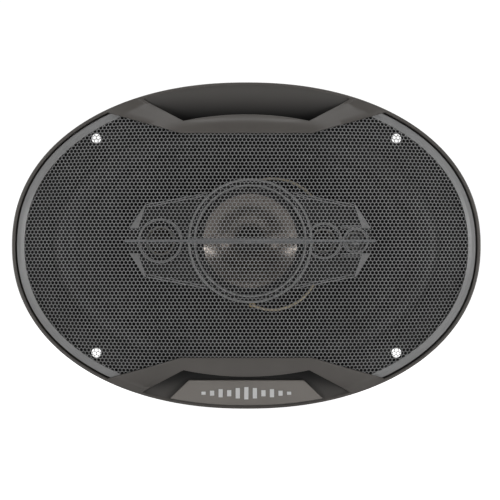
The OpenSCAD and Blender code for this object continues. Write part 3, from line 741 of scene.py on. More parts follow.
def floor():
    """A plain pale floor that glows for the camera more than for the speaker."""
    mesh = bpy.data.meshes.new("floor")
    corners = [(x, y, RIM.y0 * MM) for x, y in four_places(-FLOOR_HALF_M, -FLOOR_HALF_M)]
    mesh.from_pydata(corners, [], [(0, 1, 2, 3)])
    material, tree, shader, vector = nodes_of("floor")
    pale = noise(tree, vector, 40.0)
    tree.links.new(ramp(tree, pale, (0.93, 0.93, 0.93), (0.96, 0.96, 0.96)), shader.inputs["Base Color"])
    shader.inputs["Roughness"].default_value = 0.9
    shader.inputs["Emission Color"].default_value = (1, 1, 1, 1)
    glow = remap(tree, shader_node(tree, "LightPath").outputs["Is Camera Ray"], (0.0, 1.0), (0.12, 1.0))
    tree.links.new(glow, shader.inputs["Emission Strength"])
    mesh.materials.append(material)
    put("floor", mesh)


# Grille -------------------------------------------------------------------

def skirt(p):
    return (p - SKIRT_START) + math.sqrt((p - SKIRT_START) ** 2 + SKIRT_BEND ** 2)


def way_out(x, y):
    """How far out a point lies on the sheet, from 0 at the centre to 1 at its border."""
    return (abs(x / SHEET_A) ** OUTLINE_N + abs(y / SHEET_B) ** OUTLINE_N) ** (1 / OUTLINE_N)


def sheet_z(x, y):
    """The height of the domed sheet's face."""
    p = min(way_out(x, y), 1.0)
    return SEAT_Z + SHEET_T + CROWN * (1 - p * p) + DROP * (1 - skirt(p) / skirt(1))


def oval_y(x, a, b, n=OUTLINE_N):
    """The height of an oval over a point on its long axis."""
    return b * (1 - (abs(x) / a) ** n) ** (1 / n)


def scoop_edge(x):
    """The scoop's inner edge, just outside the surround's roll."""
    roll = span("surround")
    clear = 1 - ROLL_START + SCOOP_CLEAR
    return oval_y(x, roll.rx + clear, roll.ry + clear, 2)


def knee(width):
    """Where an edge that is width across meets the rim."""
    return oval_y(width / 2, RIM.rx - RIM_WALL, RIM.ry - RIM_WALL)


def bezel_paths():
    """Plan lines of a top bezel from its left end to its right one: inner edge and scoop edge, side by side."""
    corner = scoop_edge(SCOOP_FLAT / 2)
    right = []
    for t in fractions(16):
        right.append(((BEZEL_FLAT / 2 * t, BEZEL_EDGE_Y), (SCOOP_FLAT / 2 * t, scoop_edge(SCOOP_FLAT / 2 * t))))
    into_rim = 1.045
    for u in fractions(24)[1:]:
        t = u * into_rim
        bulge = max(t - 0.8, 0) * 1.2
        right.append(((mix(BEZEL_FLAT, BEZEL_SPAN, t) / 2, mix(BEZEL_EDGE_Y, knee(BEZEL_SPAN), t)),
                      (mix(SCOOP_FLAT, SCOOP_SPAN, t) / 2, mix(corner, knee(SCOOP_SPAN), t) + bulge)))
    left = [((-a[0], a[1]), (-b[0], b[1])) for a, b in right[:0:-1]]
    return left + right


def bezel_section(inner, outer):
    """A closed section across a bezel: its edge, its face, the scoop's wall down to the floor, and its back."""
    start, across = Vector(inner), Vector(outer) - Vector(inner)
    width = across.length
    across.normalize()
    wall_foot = FLOOR_Z + 0.2
    flat = abs(inner[0]) < BEZEL_FLAT / 2
    step_at = min(max(CREASE_Y - inner[1], 2.0), width * 0.9) if flat else width * 0.9
    sink = 0.3 * smooth((width - step_at) / 2.0 - 0.3)

    def face(d):
        p = start + across * d
        return sheet_z(p.x, p.y) + BEZEL_RISE - sink * smooth((d - step_at) / 0.2)

    def back(d):
        return d, max(face(d) - BEZEL_T, wall_foot + 0.1)

    edge, last = RIM_EDGE, width - RIM_EDGE
    bends = (0.5, 1.0, 1.57)
    section = [(0, face(0) - BEZEL_T), (0, face(0) - edge)]
    section += [(edge * (1 - math.cos(t)), face(edge) - edge * (1 - math.sin(t))) for t in bends]
    section += [(d, face(d)) for d in (edge + (step_at - edge) * t for t in (0.33, 0.66, 1.0))]
    section += [(d, face(d)) for d in (mix(step_at, last, t) for t in (0.25, 0.6, 1.0))]
    section += [(last + edge * math.sin(t), face(last) - edge * (1 - math.cos(t))) for t in bends]
    section += [(width, mix(face(width), wall_foot, t)) for t in (0.3, 0.6, 1.0)]
    inside = max(width - SCOOP_WALL, width * 0.6)
    section += [(inside, wall_foot), back(inside), back(inside * 0.66), back(inside * 0.33)]
    return [(start.x + across.x * d, start.y + across.y * d, z) for d, z in section]


def bezel(name, sign):
    sections = [[(x, sign * y, z) for x, y, z in bezel_section(a, b)] for a, b in bezel_paths()]
    add(name, *capped(sections), *MOULDING, 32)


def scoop_floor(name, sign):
    """The hollow plate at the bottom of a scoop, rising from its wall and running out over the ledge and the rim."""
    wide = [b for _, b in bezel_paths() if abs(b[0]) < SCOOP_SPAN / 2 - 0.3]
    steps = fractions(14)
    rim_gap = 0.35
    rings = []
    for x, y in wide:
        out = max(oval_y(x, RIM.rx - rim_gap, RIM.ry - rim_gap), y + 0.2)
        near = y - SCOOP_WALL / 2
        top, under = [], []
        for t in steps:
            from_rim = (1 - t) * (out - near)
            over_ledge = mix(SEAT_Z + 0.12, FLOOR_TOP, smooth((from_rim - LEDGE - 0.2) / 4))
            rise = max(mix(FLOOR_TOP, RIM_H + 0.06, t ** 2.2), over_ledge)
            lip = 0.5 * smooth((t - 0.93) / 0.07) ** 2
            way = sign * mix(near, out, t)
            top.append((x, way, rise - lip))
            under.append((x, way, FLOOR_Z if t < 0.85 else RIM_H - 1.0))
        rings.append(top + under[::-1])
    points, faces = loft(rings, wrap=False)
    rows, width = len(steps), 2 * len(steps)
    for base in (0, len(points) - width):
        faces += [(base + r, base + r + 1, base + width - 2 - r, base + width - 1 - r) for r in range(rows - 1)]
    # The floor's finish carries painted shade: dark against the wall, lighter towards the rim.
    refinish(add(name, points, faces, *MOULDING), "scoop_painted_shade")


def rim():
    """The outer rim with its rounded lip, and the ledge that the sheet sits on."""
    inset = MESH_INSET - 0.1
    profile = [(0, 0), (0, RIM_H), (RIM_WALL, RIM_H), (RIM_WALL, GROOVE_Z), (inset, GROOVE_Z), (inset, SEAT_Z),
               (LEDGE, SEAT_Z), (LEDGE, LEDGE_Z), (RIM_WALL, LEDGE_Z), (RIM_WALL, 0)]
    oval_ring("grille_rim", profile, RIM.rx, RIM.ry, OUTLINE_N, *MOULDING, RIM_EDGE, OUTLINE_STEPS)


def pegs():
    """Four locating pegs with rounded tips under the ledge."""
    low, r = 0.2, PEG_R
    profile = [(0, low), (r, low), (r, LEDGE_Z), (r + 2, LEDGE_Z), (r + 2, SEAT_Z), (0, SEAT_Z)]
    for i, at in enumerate(corners_of("grille_grommets", GROMMET_R)):
        lathe(f"grille_peg_{i + 1}", profile, *MOULDING, at, 0.35, SMALL_STEPS)


def bezel_depth_at(x, y):
    """How far a point lies inside a bezel's plan, in millimetres; negative outside it."""
    x, y = abs(x), abs(y)
    run, climb = (BEZEL_SPAN - BEZEL_FLAT) / 2, knee(BEZEL_SPAN) - BEZEL_EDGE_Y
    slant = ((y - BEZEL_EDGE_Y) * run - (x - BEZEL_FLAT / 2) * climb) / math.hypot(run, climb)
    return min(y - BEZEL_EDGE_Y, slant)


def lattice():
    """The places of the holes in each quarter of the sheet, clear of its border and of the bezels."""
    row = PITCH * math.sqrt(3) / 2
    quarters = {quarter: [] for quarter in four_places(1, 1)}
    rows, across = int(SHEET_B / row) + 1, int(SHEET_A / PITCH) + 1
    for j in range(-rows, rows + 1):
        for i in range(-across, across + 1):
            x, y = (i + (j % 2) / 2) * PITCH, j * row
            if way_out(x, y) < 0.992 and bezel_depth_at(x, y) < 1.4:
                quarters[(1 if x >= 0 else -1, 1 if y >= 0 else -1)].append((x, y))
    return quarters.values()


def perforated_sheet():
    """Round holes on a triangular lattice, each in its own hexagon of metal, cut into four pieces."""
    hexagon = []
    for k in range(HOLE_SIDES):
        angle = math.tau * k / HOLE_SIDES
        reach = PITCH / 2 if k % 2 == 0 else PITCH / math.sqrt(3)
        hexagon.append((reach * math.cos(angle), reach * math.sin(angle)))
    hole = circle(HOLE_R, steps=HOLE_SIDES)
    layers = ((hexagon, 0), (hole, HOLE_LIP), (hole, STRAND_T - 0.12), (hexagon, STRAND_T))
    for number, cells in enumerate(lattice(), 1):
        known, points, faces = {}, [], []

        def corner(x, y, drop):
            key = (round(x * 100), round(y * 100), drop)
            if key not in known:
                known[key] = len(points)
                points.append((x, y, sheet_z(x, y) - drop))
            return known[key]

        for x, y in cells:
            loops = [[corner(x + a, y + b, drop) for a, b in outline] for outline, drop in layers]
            for upper, lower in zip(loops, loops[1:]):
                for k in range(HOLE_SIDES):
                    m = (k + 1) % HOLE_SIDES
                    faces.append((upper[k], upper[m], lower[m], lower[k]))
        add(f"grille_sheet_{number}", points, faces, *SHEET, 50)


def sheet_border():
    """The sheet's plain edge, seated on the ledge and cut away under the scoops."""
    lift = 0.03
    flat, profile = SEAT_Z + SHEET_T, []
    for z in (lift, -SHEET_T - lift):
        rows = [(-LAND, flat + z), (0, flat + z)]
        rows += [(inset, sheet_z(SHEET_A - inset, 0) + z) for inset in (0.7, 1.3, LAND_INSIDE)]
        profile += rows if z > 0 else rows[::-1]
    border = oval_ring("grille_sheet_border", profile, SHEET_A, SHEET_B, OUTLINE_N, *SHEET, 0.12, OUTLINE_STEPS)
    with edited(border.data) as bm:
        under_scoop = [v for v in bm.verts if abs(v.co.x) < (SCOOP_SPAN / 2 + 0.5) * MM]
        bmesh.ops.delete(bm, geom=under_scoop, context="VERTS")
        bmesh.ops.holes_fill(bm, edges=bm.edges, sides=0)


def grille():
    rim()
    pegs()
    for side, sign in (("top", 1), ("bottom", -1)):
        bezel(f"{side}_bezel", sign)
        scoop_floor(f"{side}_scoop_floor", sign)
    perforated_sheet()
    sheet_border()
    refinish(refined("badge_plate", "grille_plastic", "grille", 0.5), "badge_plastic")
    refined("badge_bars", "white_print", "grille", 0.12)


# Basket -------------------------------------------------------------------

def window_outline(angle):
    """A window's plan: a wedge with rounded corners."""
    half = math.radians(20)
    near, far = SHELF_R + 4.5, BODY_A + 20
    wedge = [(r * math.cos(angle + side * half), r * math.sin(angle + side * half))
             for side, r in ((-1, near), (-1, far), (1, far), (1, near))]
    return [tuple(p) for p in soften(wedge, 5.0, 6)]


def basket_section():
    """The wall's section as half width, half height and z: down inside, across the rear and up outside."""
    cup = SHELF_R - 9
    inner = span("top_plate").rx - 19
    t, pan = WALL_T, PAN_DEPTH

    def pressed(inset_a, inset_b, z):
        return BODY_A - inset_a, BODY_B - inset_b, z

    def plain(r, z):
        return r, r, z

    return [
        pressed(t, t, 0.4), pressed(1.5 + t, 1.5 + t, -pan + 0.4), pressed(9 + t, 8 + t, -pan - 5),
        plain(SHELF_R + 2.8, SHELF_Z + 1.8), plain(SHELF_R - 0.4, SHELF_Z), plain(cup + 0.6, SHELF_Z),
        plain(cup - t, SHELF_Z - 2.4), plain(cup - 1 - t, REAR_Z + t), plain(inner, REAR_Z + t),
        plain(inner, REAR_Z), plain(cup - 1, REAR_Z), plain(cup, SHELF_Z - 3), plain(cup + t, SHELF_Z - t),
        plain(SHELF_R, SHELF_Z - t), plain(SHELF_R + 4, SHELF_Z + 1), pressed(9, 8, -pan - 6),
        pressed(1.5, 1.5, -pan), pressed(0, 0, 0.4)]


def basket():
    """The pressed wall with its windows and ribs, and the flange with its holes."""
    rings = [oval(a, b, 2, z) for a, b, z in soften(basket_section(), WALL_BEND)]
    wall = add("basket_wall", *loft(rings), *BASKET)
    angles = [math.radians(360 / LEGS * (i + 0.5)) for i in range(LEGS)]
    carve(wall, *joined([prism(window_outline(angle), SHELF_Z + 2.5, -PAN_DEPTH - 8) for angle in angles]))
    adopt("basket_wall", wall.data, *BASKET)
    bpy.data.objects.remove(wall)

    plate = span("basket")
    ovals = [oval(plate.rx, plate.ry, OUTLINE_N, 0), oval(BODY_A - 8, BODY_B - 8, 2, 0)]
    outlines = [[p[:2] for p in outline] for outline in ovals]
    outlines += [circle(MOUNT_R, at, SMALL_STEPS) for at in four_places(*MOUNT_HOLES)]
    outlines += [circle(GROMMET_R, at, SMALL_STEPS) for at in corners_of("grille_grommets", GROMMET_R)]
    adopt("basket_flange", plate_mesh("basket_flange", outlines, 0, FLANGE_T, 0.25), *BASKET)
    for i in range(LEGS):
        rib(f"basket_rib_{i + 1}", math.radians(360 / LEGS * i))


def rib(name, angle):
    """A raised rib pressed along the middle of a leg, from the pan to the shelf."""
    cos, sin = math.cos(angle), math.sin(angle)
    top_r = 1 / math.hypot(cos / (BODY_A - 9), sin / (BODY_B - 8)) - 1
    low_r = SHELF_R + 4.5
    half, height = 2.6, 1.3
    rings = []
    for u in fractions(16):
        r, z = mix(low_r, top_r, u), mix(SHELF_Z + 1.6, -PAN_DEPTH - 6.6, u)
        lift = height * math.sin(math.pi * u) ** 0.4 + 0.02
        section = [(side, -lift * math.cos(side * math.pi / 2) - 0.1) for side in (2 * t - 1 for t in fractions(8))]
        section += [(0.9, 0.5), (-0.9, 0.5)]
        rings.append([(r * cos - s * half * sin, r * sin + s * half * cos, z + h) for s, h in section])
    add(name, *capped(rings), *BASKET)


def soft_front():
    """Grommets in the flange and the foam ring on it."""
    section = band(PEG_R + 0.06, GROMMET_R, 0, FLANGE_T)
    for i, at in enumerate(corners_of("grille_grommets", GROMMET_R)):
        lathe(f"grille_grommet_{i + 1}", section, "boot_rubber", "frame", "grille_grommets", at, 0.4, SMALL_STEPS)
    box = span("front_gasket")
    oval_ring("front_gasket_ring", band(0, 5.5, box.z0, box.z1), box.rx, box.ry, 2, "gasket_foam", "frame",
              "front_gasket", 0.5)


# Woofer -------------------------------------------------------------------

def surround():
    """The half roll between the flange and the cone, glued at both borders."""
    t, low = ROLL_T, FLANGE_T
    start, end = ROLL_START, ROLL_START + ROLL_W
    middle, r = start + ROLL_W / 2, ROLL_W / 2
    bend = arc_steps(12, 168, 20)
    section = [(1, low), (1, low + t), (start - 0.8, low + t)]
    section += [(middle - r * math.cos(a), low + t + r * math.sin(a)) for a in bend]
    section += [(end + 0.8, low + t), (end + 3, low + t), (end + 3, low), (end - 0.4, low)]
    section += [(middle + (r - t) * math.cos(a), low + (r - t) * math.sin(a)) for a in bend]
    section += [(start + 0.4, low)]
    rings = [oval(BODY_A - d, BODY_B - d, 2, z) for d, z in section]
    blended("surround_roll", rings, "surround_rubber", "surround")


def cone_size(s):
    """The cone's half width and half height, from 0 at its neck to 1 at its rim."""
    return mix(FORMER_OUT, CONE_A, s), mix(FORMER_OUT, CONE_B, s)


def cone_z(s):
    return NECK_Z + CONE_DEPTH * s ** 1.1


def cone_at(x, y):
    """The height of the cone's face at a point."""
    low, high = 0.0, 1.0
    for _ in range(24):
        middle = (low + high) / 2
        a, b = cone_size(middle)
        if (x / a) ** 2 + (y / b) ** 2 > 1:
            low = middle
        else:
            high = middle
    return cone_z(low)


def cone():
    """The oval cone with a flat glued rim and shallow pressed rings."""
    steps = fractions(40)[::-1]

    def dip(s):
        return 0.22 * math.sin(s * math.pi * 9) ** 2 * smooth((s - 0.25) / 0.1) * smooth((0.95 - s) / 0.1)

    section = [(CONE_A + CONE_RIM, CONE_B + CONE_RIM, z) for z in (FLANGE_T - CONE_T, FLANGE_T)]
    section += [(*cone_size(s), cone_z(s) - dip(s)) for s in steps]
    section += [(*cone_size(s), cone_z(s) - dip(s) - CONE_T) for s in reversed(steps)]
    rings = [oval(a, b, 2, z) for a, b, z in section]
    add("cone_body", *loft(rings), "cone_paper", "woofer", "woofer_cone", 35)


def eyelets():
    """Rolled brass eyelets in the cone."""
    profile = [(0.8, -1.9), (1.6, -1.9), (1.6, -1.5), (1.15, -1.2), (1.15, 0.3), (1.6, 0.6), (1.6, 1.0), (0.8, 1.0)]
    for i, (x, y) in enumerate(FRONT_EYES + REAR_EYES):
        z = cone_at(x, y)
        lathe(f"cone_eyelet_{i + 1}", [(r, z + h) for r, h in profile], "brass_fitting", "woofer", "cone_eyelets",
              (x, y), 0.15, 32)


def lacquer():
    """A drop of dark lacquer over each rear eyelet, on the face of the cone."""
    profile = [(0, -0.4), (3.2, -1.6), (3.2, -0.6), (2.6, 0.6), (1.6, 1.3), (0, 1.6)]
    for i, (x, y) in enumerate(REAR_EYES):
        z = cone_at(x, y)
        lathe(f"eyelet_lacquer_{i + 1}", [(r, z + h) for r, h in profile], "cone_paper", "woofer", "woofer_cone",
              (x, y), 0.4, 40)


def spider():
    """The corrugated cloth ring between the coil former and the basket's shelf."""
    r_in, r_out = FORMER_OUT + 3, SHELF_R - 9.5
    glued = SHELF_R - 2

    def ripple(r):
        return SPIDER_WAVE_H * math.sin(math.tau * SPIDER_WAVES * (r - r_in) / (r_out - r_in))

    radii = [mix(r_in, r_out, t) for t in fractions(90)]
    section = [(FORMER_OUT, SHELF_Z)] + [(r, SHELF_Z + ripple(r)) for r in radii]
    section += [(glued, SHELF_Z), (glued, SHELF_Z + SPIDER_T)]
    section += [(r, SHELF_Z + SPIDER_T + ripple(r)) for r in reversed(radii)] + [(FORMER_OUT, SHELF_Z + SPIDER_T)]
    blended("spider_cloth_ring", turned(section), "spider_cloth", "spider")


def coil():
    """The former with its winding, and the foam seal round the post."""
    former, wire, seal = span("coil_former"), span("voice_coil"), span("dust_seal")
    lathe("former_tube", band(former.rx - 0.3, former.rx, former.z0, former.z1), "former_film", "woofer",
          "coil_former", edge=0.05)
    turn_count = 24
    step = (wire.z1 - wire.z0) / turn_count
    profile = [(former.rx, wire.z0)]
    for k in range(turn_count):
        z = wire.z0 + step * k
        profile += [(wire.rx - 0.15, z), (wire.rx, z + step / 2)]
    profile += [(wire.rx - 0.15, wire.z1), (former.rx, wire.z1)]
    lathe("coil_winding", profile, "copper_wire", "woofer", "voice_coil", edge=0.03, crease=80)
    lathe("dust_seal_ring", band(SEAL_R, seal.rx, seal.z0, seal.z1), "gasket_foam", "woofer", "dust_seal", edge=0.5)


# Motor --------------------------------------------------------------------

def motor():
    """Top plate, magnet, yoke with its pole, rubber boot and rivets."""
    plate, ferrite, yoke = span("top_plate"), span("magnet"), span("pole_yoke")
    gap = span("voice_coil").rx + COIL_GAP
    lathe("top_plate_disc", band(gap, plate.rx, plate.z0, plate.z1), "plated_steel", "frame", "top_plate", edge=0.5)
    lathe("magnet_ring", band(gap + 4.5, ferrite.rx, ferrite.z0, ferrite.z1), "ferrite", "frame", "magnet", edge=0.9)
    pole, seat = FORMER_OUT - COIL_GAP, yoke.z0 + 3.2
    profile = [(6, yoke.z0), (yoke.rx, yoke.z0), (yoke.rx, ferrite.z0), (pole, ferrite.z0), (pole, yoke.z1),
               (POST_SCREW_R, yoke.z1), (POST_SCREW_R, seat), (6, seat)]
    lathe("yoke_and_pole", profile, "plated_steel", "frame", "pole_yoke", edge=0.5)
    boot(ferrite.rx, yoke.z0)
    low, head = plate.z0, -48.8
    profile = [(0, low), (2, low), (2, head), (3.2, head), (3.0, head + 0.7), (1.9, head + 1.2), (0, head + 1.2)]
    for i, at in enumerate(corners_of("motor_rivets", 3.2)):
        lathe(f"motor_rivet_{i + 1}", profile, "rivet_steel", "frame", "motor_rivets", at, 0.2, SMALL_STEPS)


def boot(magnet_r, yoke_z):
    """The rubber cover of the magnet, with grooves round its side."""
    box = span("magnet_boot")
    r, groove = box.rx, 0.45
    profile = [(BOOT_HOLE_R, box.z0), (r - 1.4, box.z0), (r, box.z0 + 1.4)]
    for k in range(BOOT_GROOVES):
        z = box.z0 + 5 + 3.4 * k
        profile += [(r, z), (r - groove, z + groove), (r - groove, z + 0.95), (r, z + 1.4)]
    profile += [(r, box.z1 - 0.8), (r - 0.5, box.z1), (magnet_r, box.z1), (magnet_r, yoke_z), (BOOT_HOLE_R, yoke_z)]
    lathe("boot_cover", profile, "boot_rubber", "frame", "magnet_boot", edge=0.35)


def post():
    """The stepped column that carries the bridge, and its screw."""
    box, bore = span("centre_post"), 2.5
    profile = [(bore, box.z0), (9, box.z0), (9, -13), (10, -12), (14, -12), (14, box.z1), (0, box.z1),
               (0, box.z0 + 20), (bore, box.z0 + 20)]
    lathe("post_column", profile, "plated_steel", "frame", "centre_post", edge=0.5)
    refined("post_screw", "rivet_steel", "frame", 0.25)


# Bridge and midrange ------------------------------------------------------

def bridge():
    """The bridge with its bar, the midrange's trim ring, its frame and its magnet."""
    refined("bridge_body", "bridge_plastic", "frame", 0.3)
    refined("bridge_bar", "bar_plastic", "frame", 0.35)
    ring = span("mid_trim_ring")
    centre, r, z = (ring.cx, ring.cy), ring.rx, ring.z1
    profile = [(TRIM_R, ring.z0), (r, ring.z0), (r, z - 0.3), (r - 0.5, z + 0.4), (r - 1.1, z - 0.1),
               (r - 3.1, z - 0.2), (r - 3.6, z + 0.3), (TRIM_R, z - 1.2)]
    lathe("trim_ring", profile, "bridge_plastic", "frame", "mid_trim_ring", centre, 0.12)
    wing_beads(ring.cx, ring.cy, z)
    box = span("mid_frame")
    r, z, t = box.rx, box.z1, 0.8
    profile = [(MID_OPENING_R, z - t), (r - 1, z - t), (r - 1, box.z0), (r, box.z0), (r, z), (MID_OPENING_R, z)]
    lathe("mid_frame_ring", profile, "basket_steel", "frame", "mid_frame", centre, 0.2)
    box = span("mid_magnet")
    r, z, deep = MID_CAP_R, box.z1, -6.5
    profile = [(0, box.z0), (box.rx, box.z0), (box.rx, z), (r + 0.5, z), (r + 0.5, deep), (r - 1.1, deep),
               (r - 1.1, z), (0, z)]
    lathe("mid_magnet_core", profile, "plated_steel", "frame", "mid_magnet", centre, 0.4)


def wing_beads(x0, y0, z):
    """Low rounded beads along the wings' long edges and along the channel between the right tweeters."""
    edges = []
    for sx, sy in ((1, 1), (1, -1), (-1, 1), (-1, -1)):
        edges.append(((x0 + sx * 22.6, y0 + sy * 24.4), (x0 + sx * 53.0, y0 + sy * 18.6), (x0, y0)))
    for sy in (1, -1):
        edges.append(((x0 + 46.4, y0 + sy * 6.4), (x0 + 57.0, y0 + sy * 6.4), (x0, y0 + sy * 40)))
    for count, (start, end, inside) in enumerate(edges, 1):
        bead(f"wing_bead_{count}", start, end, z, inside)


def bead(name, start, end, z, inside):
    """A half-round lip along a straight edge, on the side of a given point, with its ends tapered."""
    a, b = Vector(start), Vector(end)
    way = (b - a).normalized()
    across = Vector((-way.y, way.x))
    if across.dot(Vector(inside) - a) < 0:
        across = -across
    section = [(1.5, -0.5), (1.5, 0.05), (1.2, 0.3), (0.75, 0.42), (0.3, 0.3), (-0.06, -0.05), (-0.06, -0.5)]
    rings = []
    for t in fractions(8):
        p = a + (b - a) * t
        size = 1 if 0 < t < 1 else 0.35
        rings.append([(p.x + across.x * q, p.y + across.y * q, z + (h * size if h > 0 else h)) for q, h in section])
    add(name, *capped(rings), *BRIDGE, 60)


def midrange():
    """Bright cone, dark cap, coil and the small half roll that carries them."""
    ring, film, cap, wire = (span(node) for node in ("mid_surround", "mid_cone", "mid_dust_cap", "mid_coil"))
    centre = (film.cx, film.cy)
    seat, t = ring.z0, 0.3
    edge_r = film.rx + 0.4
    roll = (ring.rx - edge_r) / 4
    middle = edge_r + roll + 0.4
    section = [(edge_r - 0.8, seat), (edge_r - 0.8, seat + t), (middle - roll, seat + t)]
    section += [(middle - roll * math.cos(a), seat + roll * math.sin(a)) for a in arc_steps(25, 155, 10)]
    section += [(middle + roll, seat + t), (ring.rx, seat + t), (ring.rx, seat), (middle + roll - t, seat)]
    section += [(middle + (roll - t) * math.cos(a), seat + (roll - t) * math.sin(a)) for a in arc_steps(20, 160, 10)]
    section += [(middle - roll + t, seat)]
    blended("mid_roll", turned(section, centre), "surround_rubber", "mid_surround")

    face = [(mix(MID_CAP_R, film.rx, s), mix(cap.z0, seat, s ** 1.25)) for s in fractions(24)]
    back = [(r, z - 0.5) for r, z in reversed(face)]
    lathe("mid_cone_film", face + back, "bright_cone", "midrange", "mid_cone", centre, 0.05)
    dome("mid_cap", centre, MID_CAP_R, cap.z0, cap.z1 - cap.z0, 0.4, "dark_dome", "midrange", "mid_dust_cap")
    lathe("mid_coil_winding", band(wire.rx - 0.6, wire.rx, wire.z0, wire.z1), "copper_wire", "midrange", "mid_coil",
          centre, 0.1)


def dome(name, centre, r, z, h, t, slot, body, node):
    """A thin round cap of a ball, t thick and h high over z."""
    ball = (r * r + h * h) / (2 * h)
    angles = arc_steps(0, math.degrees(math.asin(r / ball)), 20)
    outer = [(ball * math.sin(a), z + ball * math.cos(a) - ball + h) for a in angles]
    inner = [((ball - t) * math.sin(a), z + (ball - t) * math.cos(a) - ball + h) for a in reversed(angles)]
    lathe(name, outer + inner, slot, body, node, centre, 0.05, 96)


# Tweeters -----------------------------------------------------------------

def tweeter(side, slot):
    """A horn-shaped housing with a light lip, a small magnet with a groove, and a dome with its tube."""
    dome_node, house_node, rider = f"{side}_tweeter_dome", f"{side}_tweeter_housing", f"{side}_tweeter"
    box, house = span(dome_node), span(house_node)
    centre = (box.cx, box.cy)
    r, top, base = house.ry, house.z1, house.z0
    dome_r, dome_z = 0.57 * r, top - 3.8
    core, deck = dome_r + 1.2, dome_z - 0.8
    profile = [(core, base), (r, base), (r, top - 0.6), (r - 1.3, top - 0.6)]
    profile += [(mix(r - 1.5, dome_r + 0.9, s), mix(top - 1.4, dome_z + 0.05, s ** 0.75)) for s in fractions(10)]
    profile += [(core, deck)]
    horn = lathe(f"{side}_tweeter_ring", profile, "bridge_plastic", "frame", house_node, centre, 0.1, 128)
    refinish(horn, "horn_plastic")
    profile = [(r - 1.3, top - 1.0), (r, top - 1.0), (r, top - 0.5), (r - 0.1, top + 0.1), (r - 0.55, top + 0.4),
               (r - 1.0, top + 0.1), (r - 1.3, top - 0.6)]
    lip = lathe(f"{side}_tweeter_lip", profile, "bridge_plastic", "frame", house_node, centre, 0.1, 128)
    groove_out, groove_in, groove_z = dome_r + 0.45, dome_r - 0.75, dome_z - 3.4
    profile = [(0, base), (core, base), (core, deck), (groove_out, deck), (groove_out, groove_z),
               (groove_in, groove_z), (groove_in, deck), (0, deck)]
    magnet = lathe(f"{side}_tweeter_core", profile, "plated_steel", "frame", f"{side}_tweeter_magnet", centre, 0.1, 96)
    if side == "right":
        ring = span("mid_trim_ring")
        for piece in (horn, lip, magnet):
            carve(piece, *prism(circle(ring.rx, (ring.cx, ring.cy), 256), -30, 40))
            piece.data.set_sharp_from_angle(angle=math.radians(CREASE))
    dome(f"{side}_tweeter_cap", centre, dome_r, dome_z, 0.42 * dome_r, 0.35, slot, rider, dome_node)
    lathe(f"{side}_tweeter_tube", band(dome_r - 0.35, dome_r - 0.05, dome_z - 2.6, dome_z + 0.1), "former_film",
          rider, dome_node, centre, 0.05, 96)


def capacitors():
    """Two sleeved capacitors on their sides, each with a crimped end and a bare disc."""
    box = span("crossover_capacitors")
    r = (box.y1 - box.y0) / 2
    sleeve = [(0, 0.25), (r - 0.9, 0.25), (r - 0.7, 0), (r - 0.2, 0.15), (r, 0.6), (r, 1.6), (r - 0.35, 2.1),
              (r - 0.35, 2.5), (r, 3.0), (r, 12.4), (r - 0.4, 13), (0, 13)]
    for i, (start, way) in enumerate(((box.x1, -1), (box.x0, 1))):
        rings = [[(start + way * t, y, z) for y, z in circle(q, (box.cy, box.z1 - r), 64)]
                 for q, t in soften(sleeve, 0.15)]
        clean(add(f"capacitor_{i + 1}", *loft(rings), "capacitor_sleeve", "frame", "crossover_capacitors"))


# Terminals and leads ------------------------------------------------------

def terminals():
    """The board with its two tabs, their lugs, rivets and solder, and the rivets that hold it."""
    refined("terminal_board", "phenolic_board", "frame", 0.2)
    board = span("terminal_board")
    terminal("positive", "brass_fitting", board)
    terminal("negative", "tinned_tab", board)
    rivets = span("board_rivets")
    shank, head = 1.6, 2.4
    profile = [(0, rivets.z0), (shank, rivets.z0), (head, rivets.z0 + 0.7), (head, board.z0), (1.5, board.z0),
               (1.5, rivets.z1), (0, rivets.z1)]
    for i, sign in enumerate((-1, 1)):
        lathe(f"board_rivet_{i + 1}", profile, "rivet_steel", "frame", "board_rivets",
              (sign * (rivets.rx - head), rivets.cy), 0.2, 40)


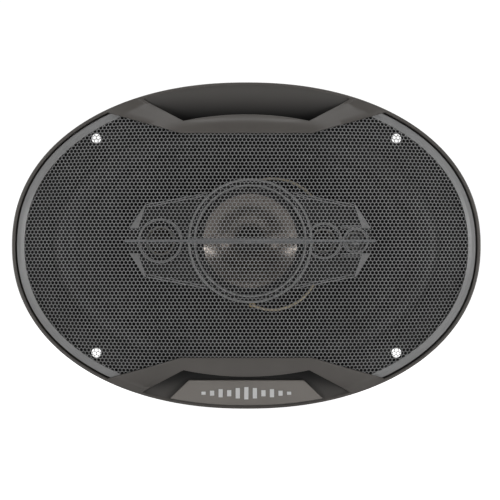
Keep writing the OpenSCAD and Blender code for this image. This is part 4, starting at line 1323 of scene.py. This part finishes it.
def terminal(side, slot, board):
    """A push-on tab with a chamfered end and a hole, and the lug that a lead is soldered to."""
    node = f"{side}_terminal"
    box = span(node)
    x, w, chamfer = box.cx, box.rx, 0.8
    top = LUG_Y + 2.5
    tab = [(x - w + chamfer, box.y0), (x + w - chamfer, box.y0), (x + w, box.y0 + 1.2), (x + w, top), (x - w, top),
           (x - w, box.y0 + 1.2)]
    hole = circle(0.8, (x, box.y0 + 3.6), 32)
    lug = band(x - LUG_HALF, x + LUG_HALF, LUG_Y - LUG_HALF, LUG_Y + LUG_HALF)
    for name, outlines, low in (("tab", [tab, hole], board.z0 - TAB_T), ("lug", [lug], board.z1)):
        name = f"{side}_{name}"
        adopt(name, plate_mesh(name, outlines, low, low + TAB_T, 0.12), slot, "frame", node)
    lathe(f"{side}_rivet", band(0, 1, board.z0 - 0.1, board.z1 + 0.1), slot, "frame", node, (x, LUG_Y), 0.1, 32)
    drop = [(0, board.z1 + 0.5), (1.4, board.z1 + 0.5), (1.3, box.z1 - 0.1), (0.9, box.z1), (0, box.z1)]
    lathe(f"{side}_solder", drop, "tinned_tab", "frame", node, (x, LUG_Y), 0.3, 32)


def braid(name, path, side, node):
    """A twisted lead: strands wound round a path."""
    runs = [0.0]
    for a, b in zip(path, path[1:]):
        runs.append(runs[-1] + (Vector(b) - Vector(a)).length)
    strands = []
    for s in range(STRANDS):
        rings = []
        for i, p in enumerate(path):
            ahead = (Vector(path[min(i + 1, len(path) - 1)]) - Vector(path[max(i - 1, 0)])).normalized()
            u = ahead.cross(Vector(side)).normalized()
            w = ahead.cross(u)
            turn = math.tau * (s / STRANDS + runs[i] / STRAND_TURN)
            centre = Vector(p) + STRAND_REACH * (math.cos(turn) * u + math.sin(turn) * w)
            rings.append([tuple(centre + x * u + y * w) for x, y in circle(STRAND_R, steps=STRAND_SIDES)])
        strands.append(capped(rings))
    piece = add(name, *joined(strands), "braided_lead", None, node, 60)
    follow(piece)


def leads():
    """Slack leads behind the cone, and bright arcs from the cone to the wings."""
    low = span("terminal_board").z1 + TAB_T
    steps = fractions(LEAD_STEPS)
    for i, (x, y) in enumerate(REAR_EYES):
        high = cone_at(x, y) - CONE_T - 1.1
        path = [(x, mix(LUG_Y, y, smooth(u)) - 3 * math.sin(math.pi * min(1, 2 * u)), mix(low, high, u))
                for u in steps]
        braid(f"tinsel_lead_{i + 1}", path, (1, 0, 0), "tinsel_leads")
    ring = span("mid_trim_ring")
    over_cone, end_z = 1.9, 6
    for i, (x0, y0, r, start, end) in enumerate(FRONT_ARCS):
        path = []
        for u, a in zip(steps, arc_steps(start, end, LEAD_STEPS)):
            x, y = x0 + r * math.cos(a) + ring.cx * u, y0 + r * math.sin(a) + ring.cy * u
            path.append((x, y, mix(cone_at(x, y) + over_cone, end_z, u * u)))
        braid(f"front_lead_{i + 1}", path, (0, 0, 1), "front_leads")


studio()
grille()
basket()
soft_front()
surround()
cone()
eyelets()
lacquer()
spider()
coil()
motor()
post()
bridge()
midrange()
tweeter("left", "dark_dome")
tweeter("right", "dark_dome")
tweeter("super", "silver_dome")
capacitors()
terminals()
leads()
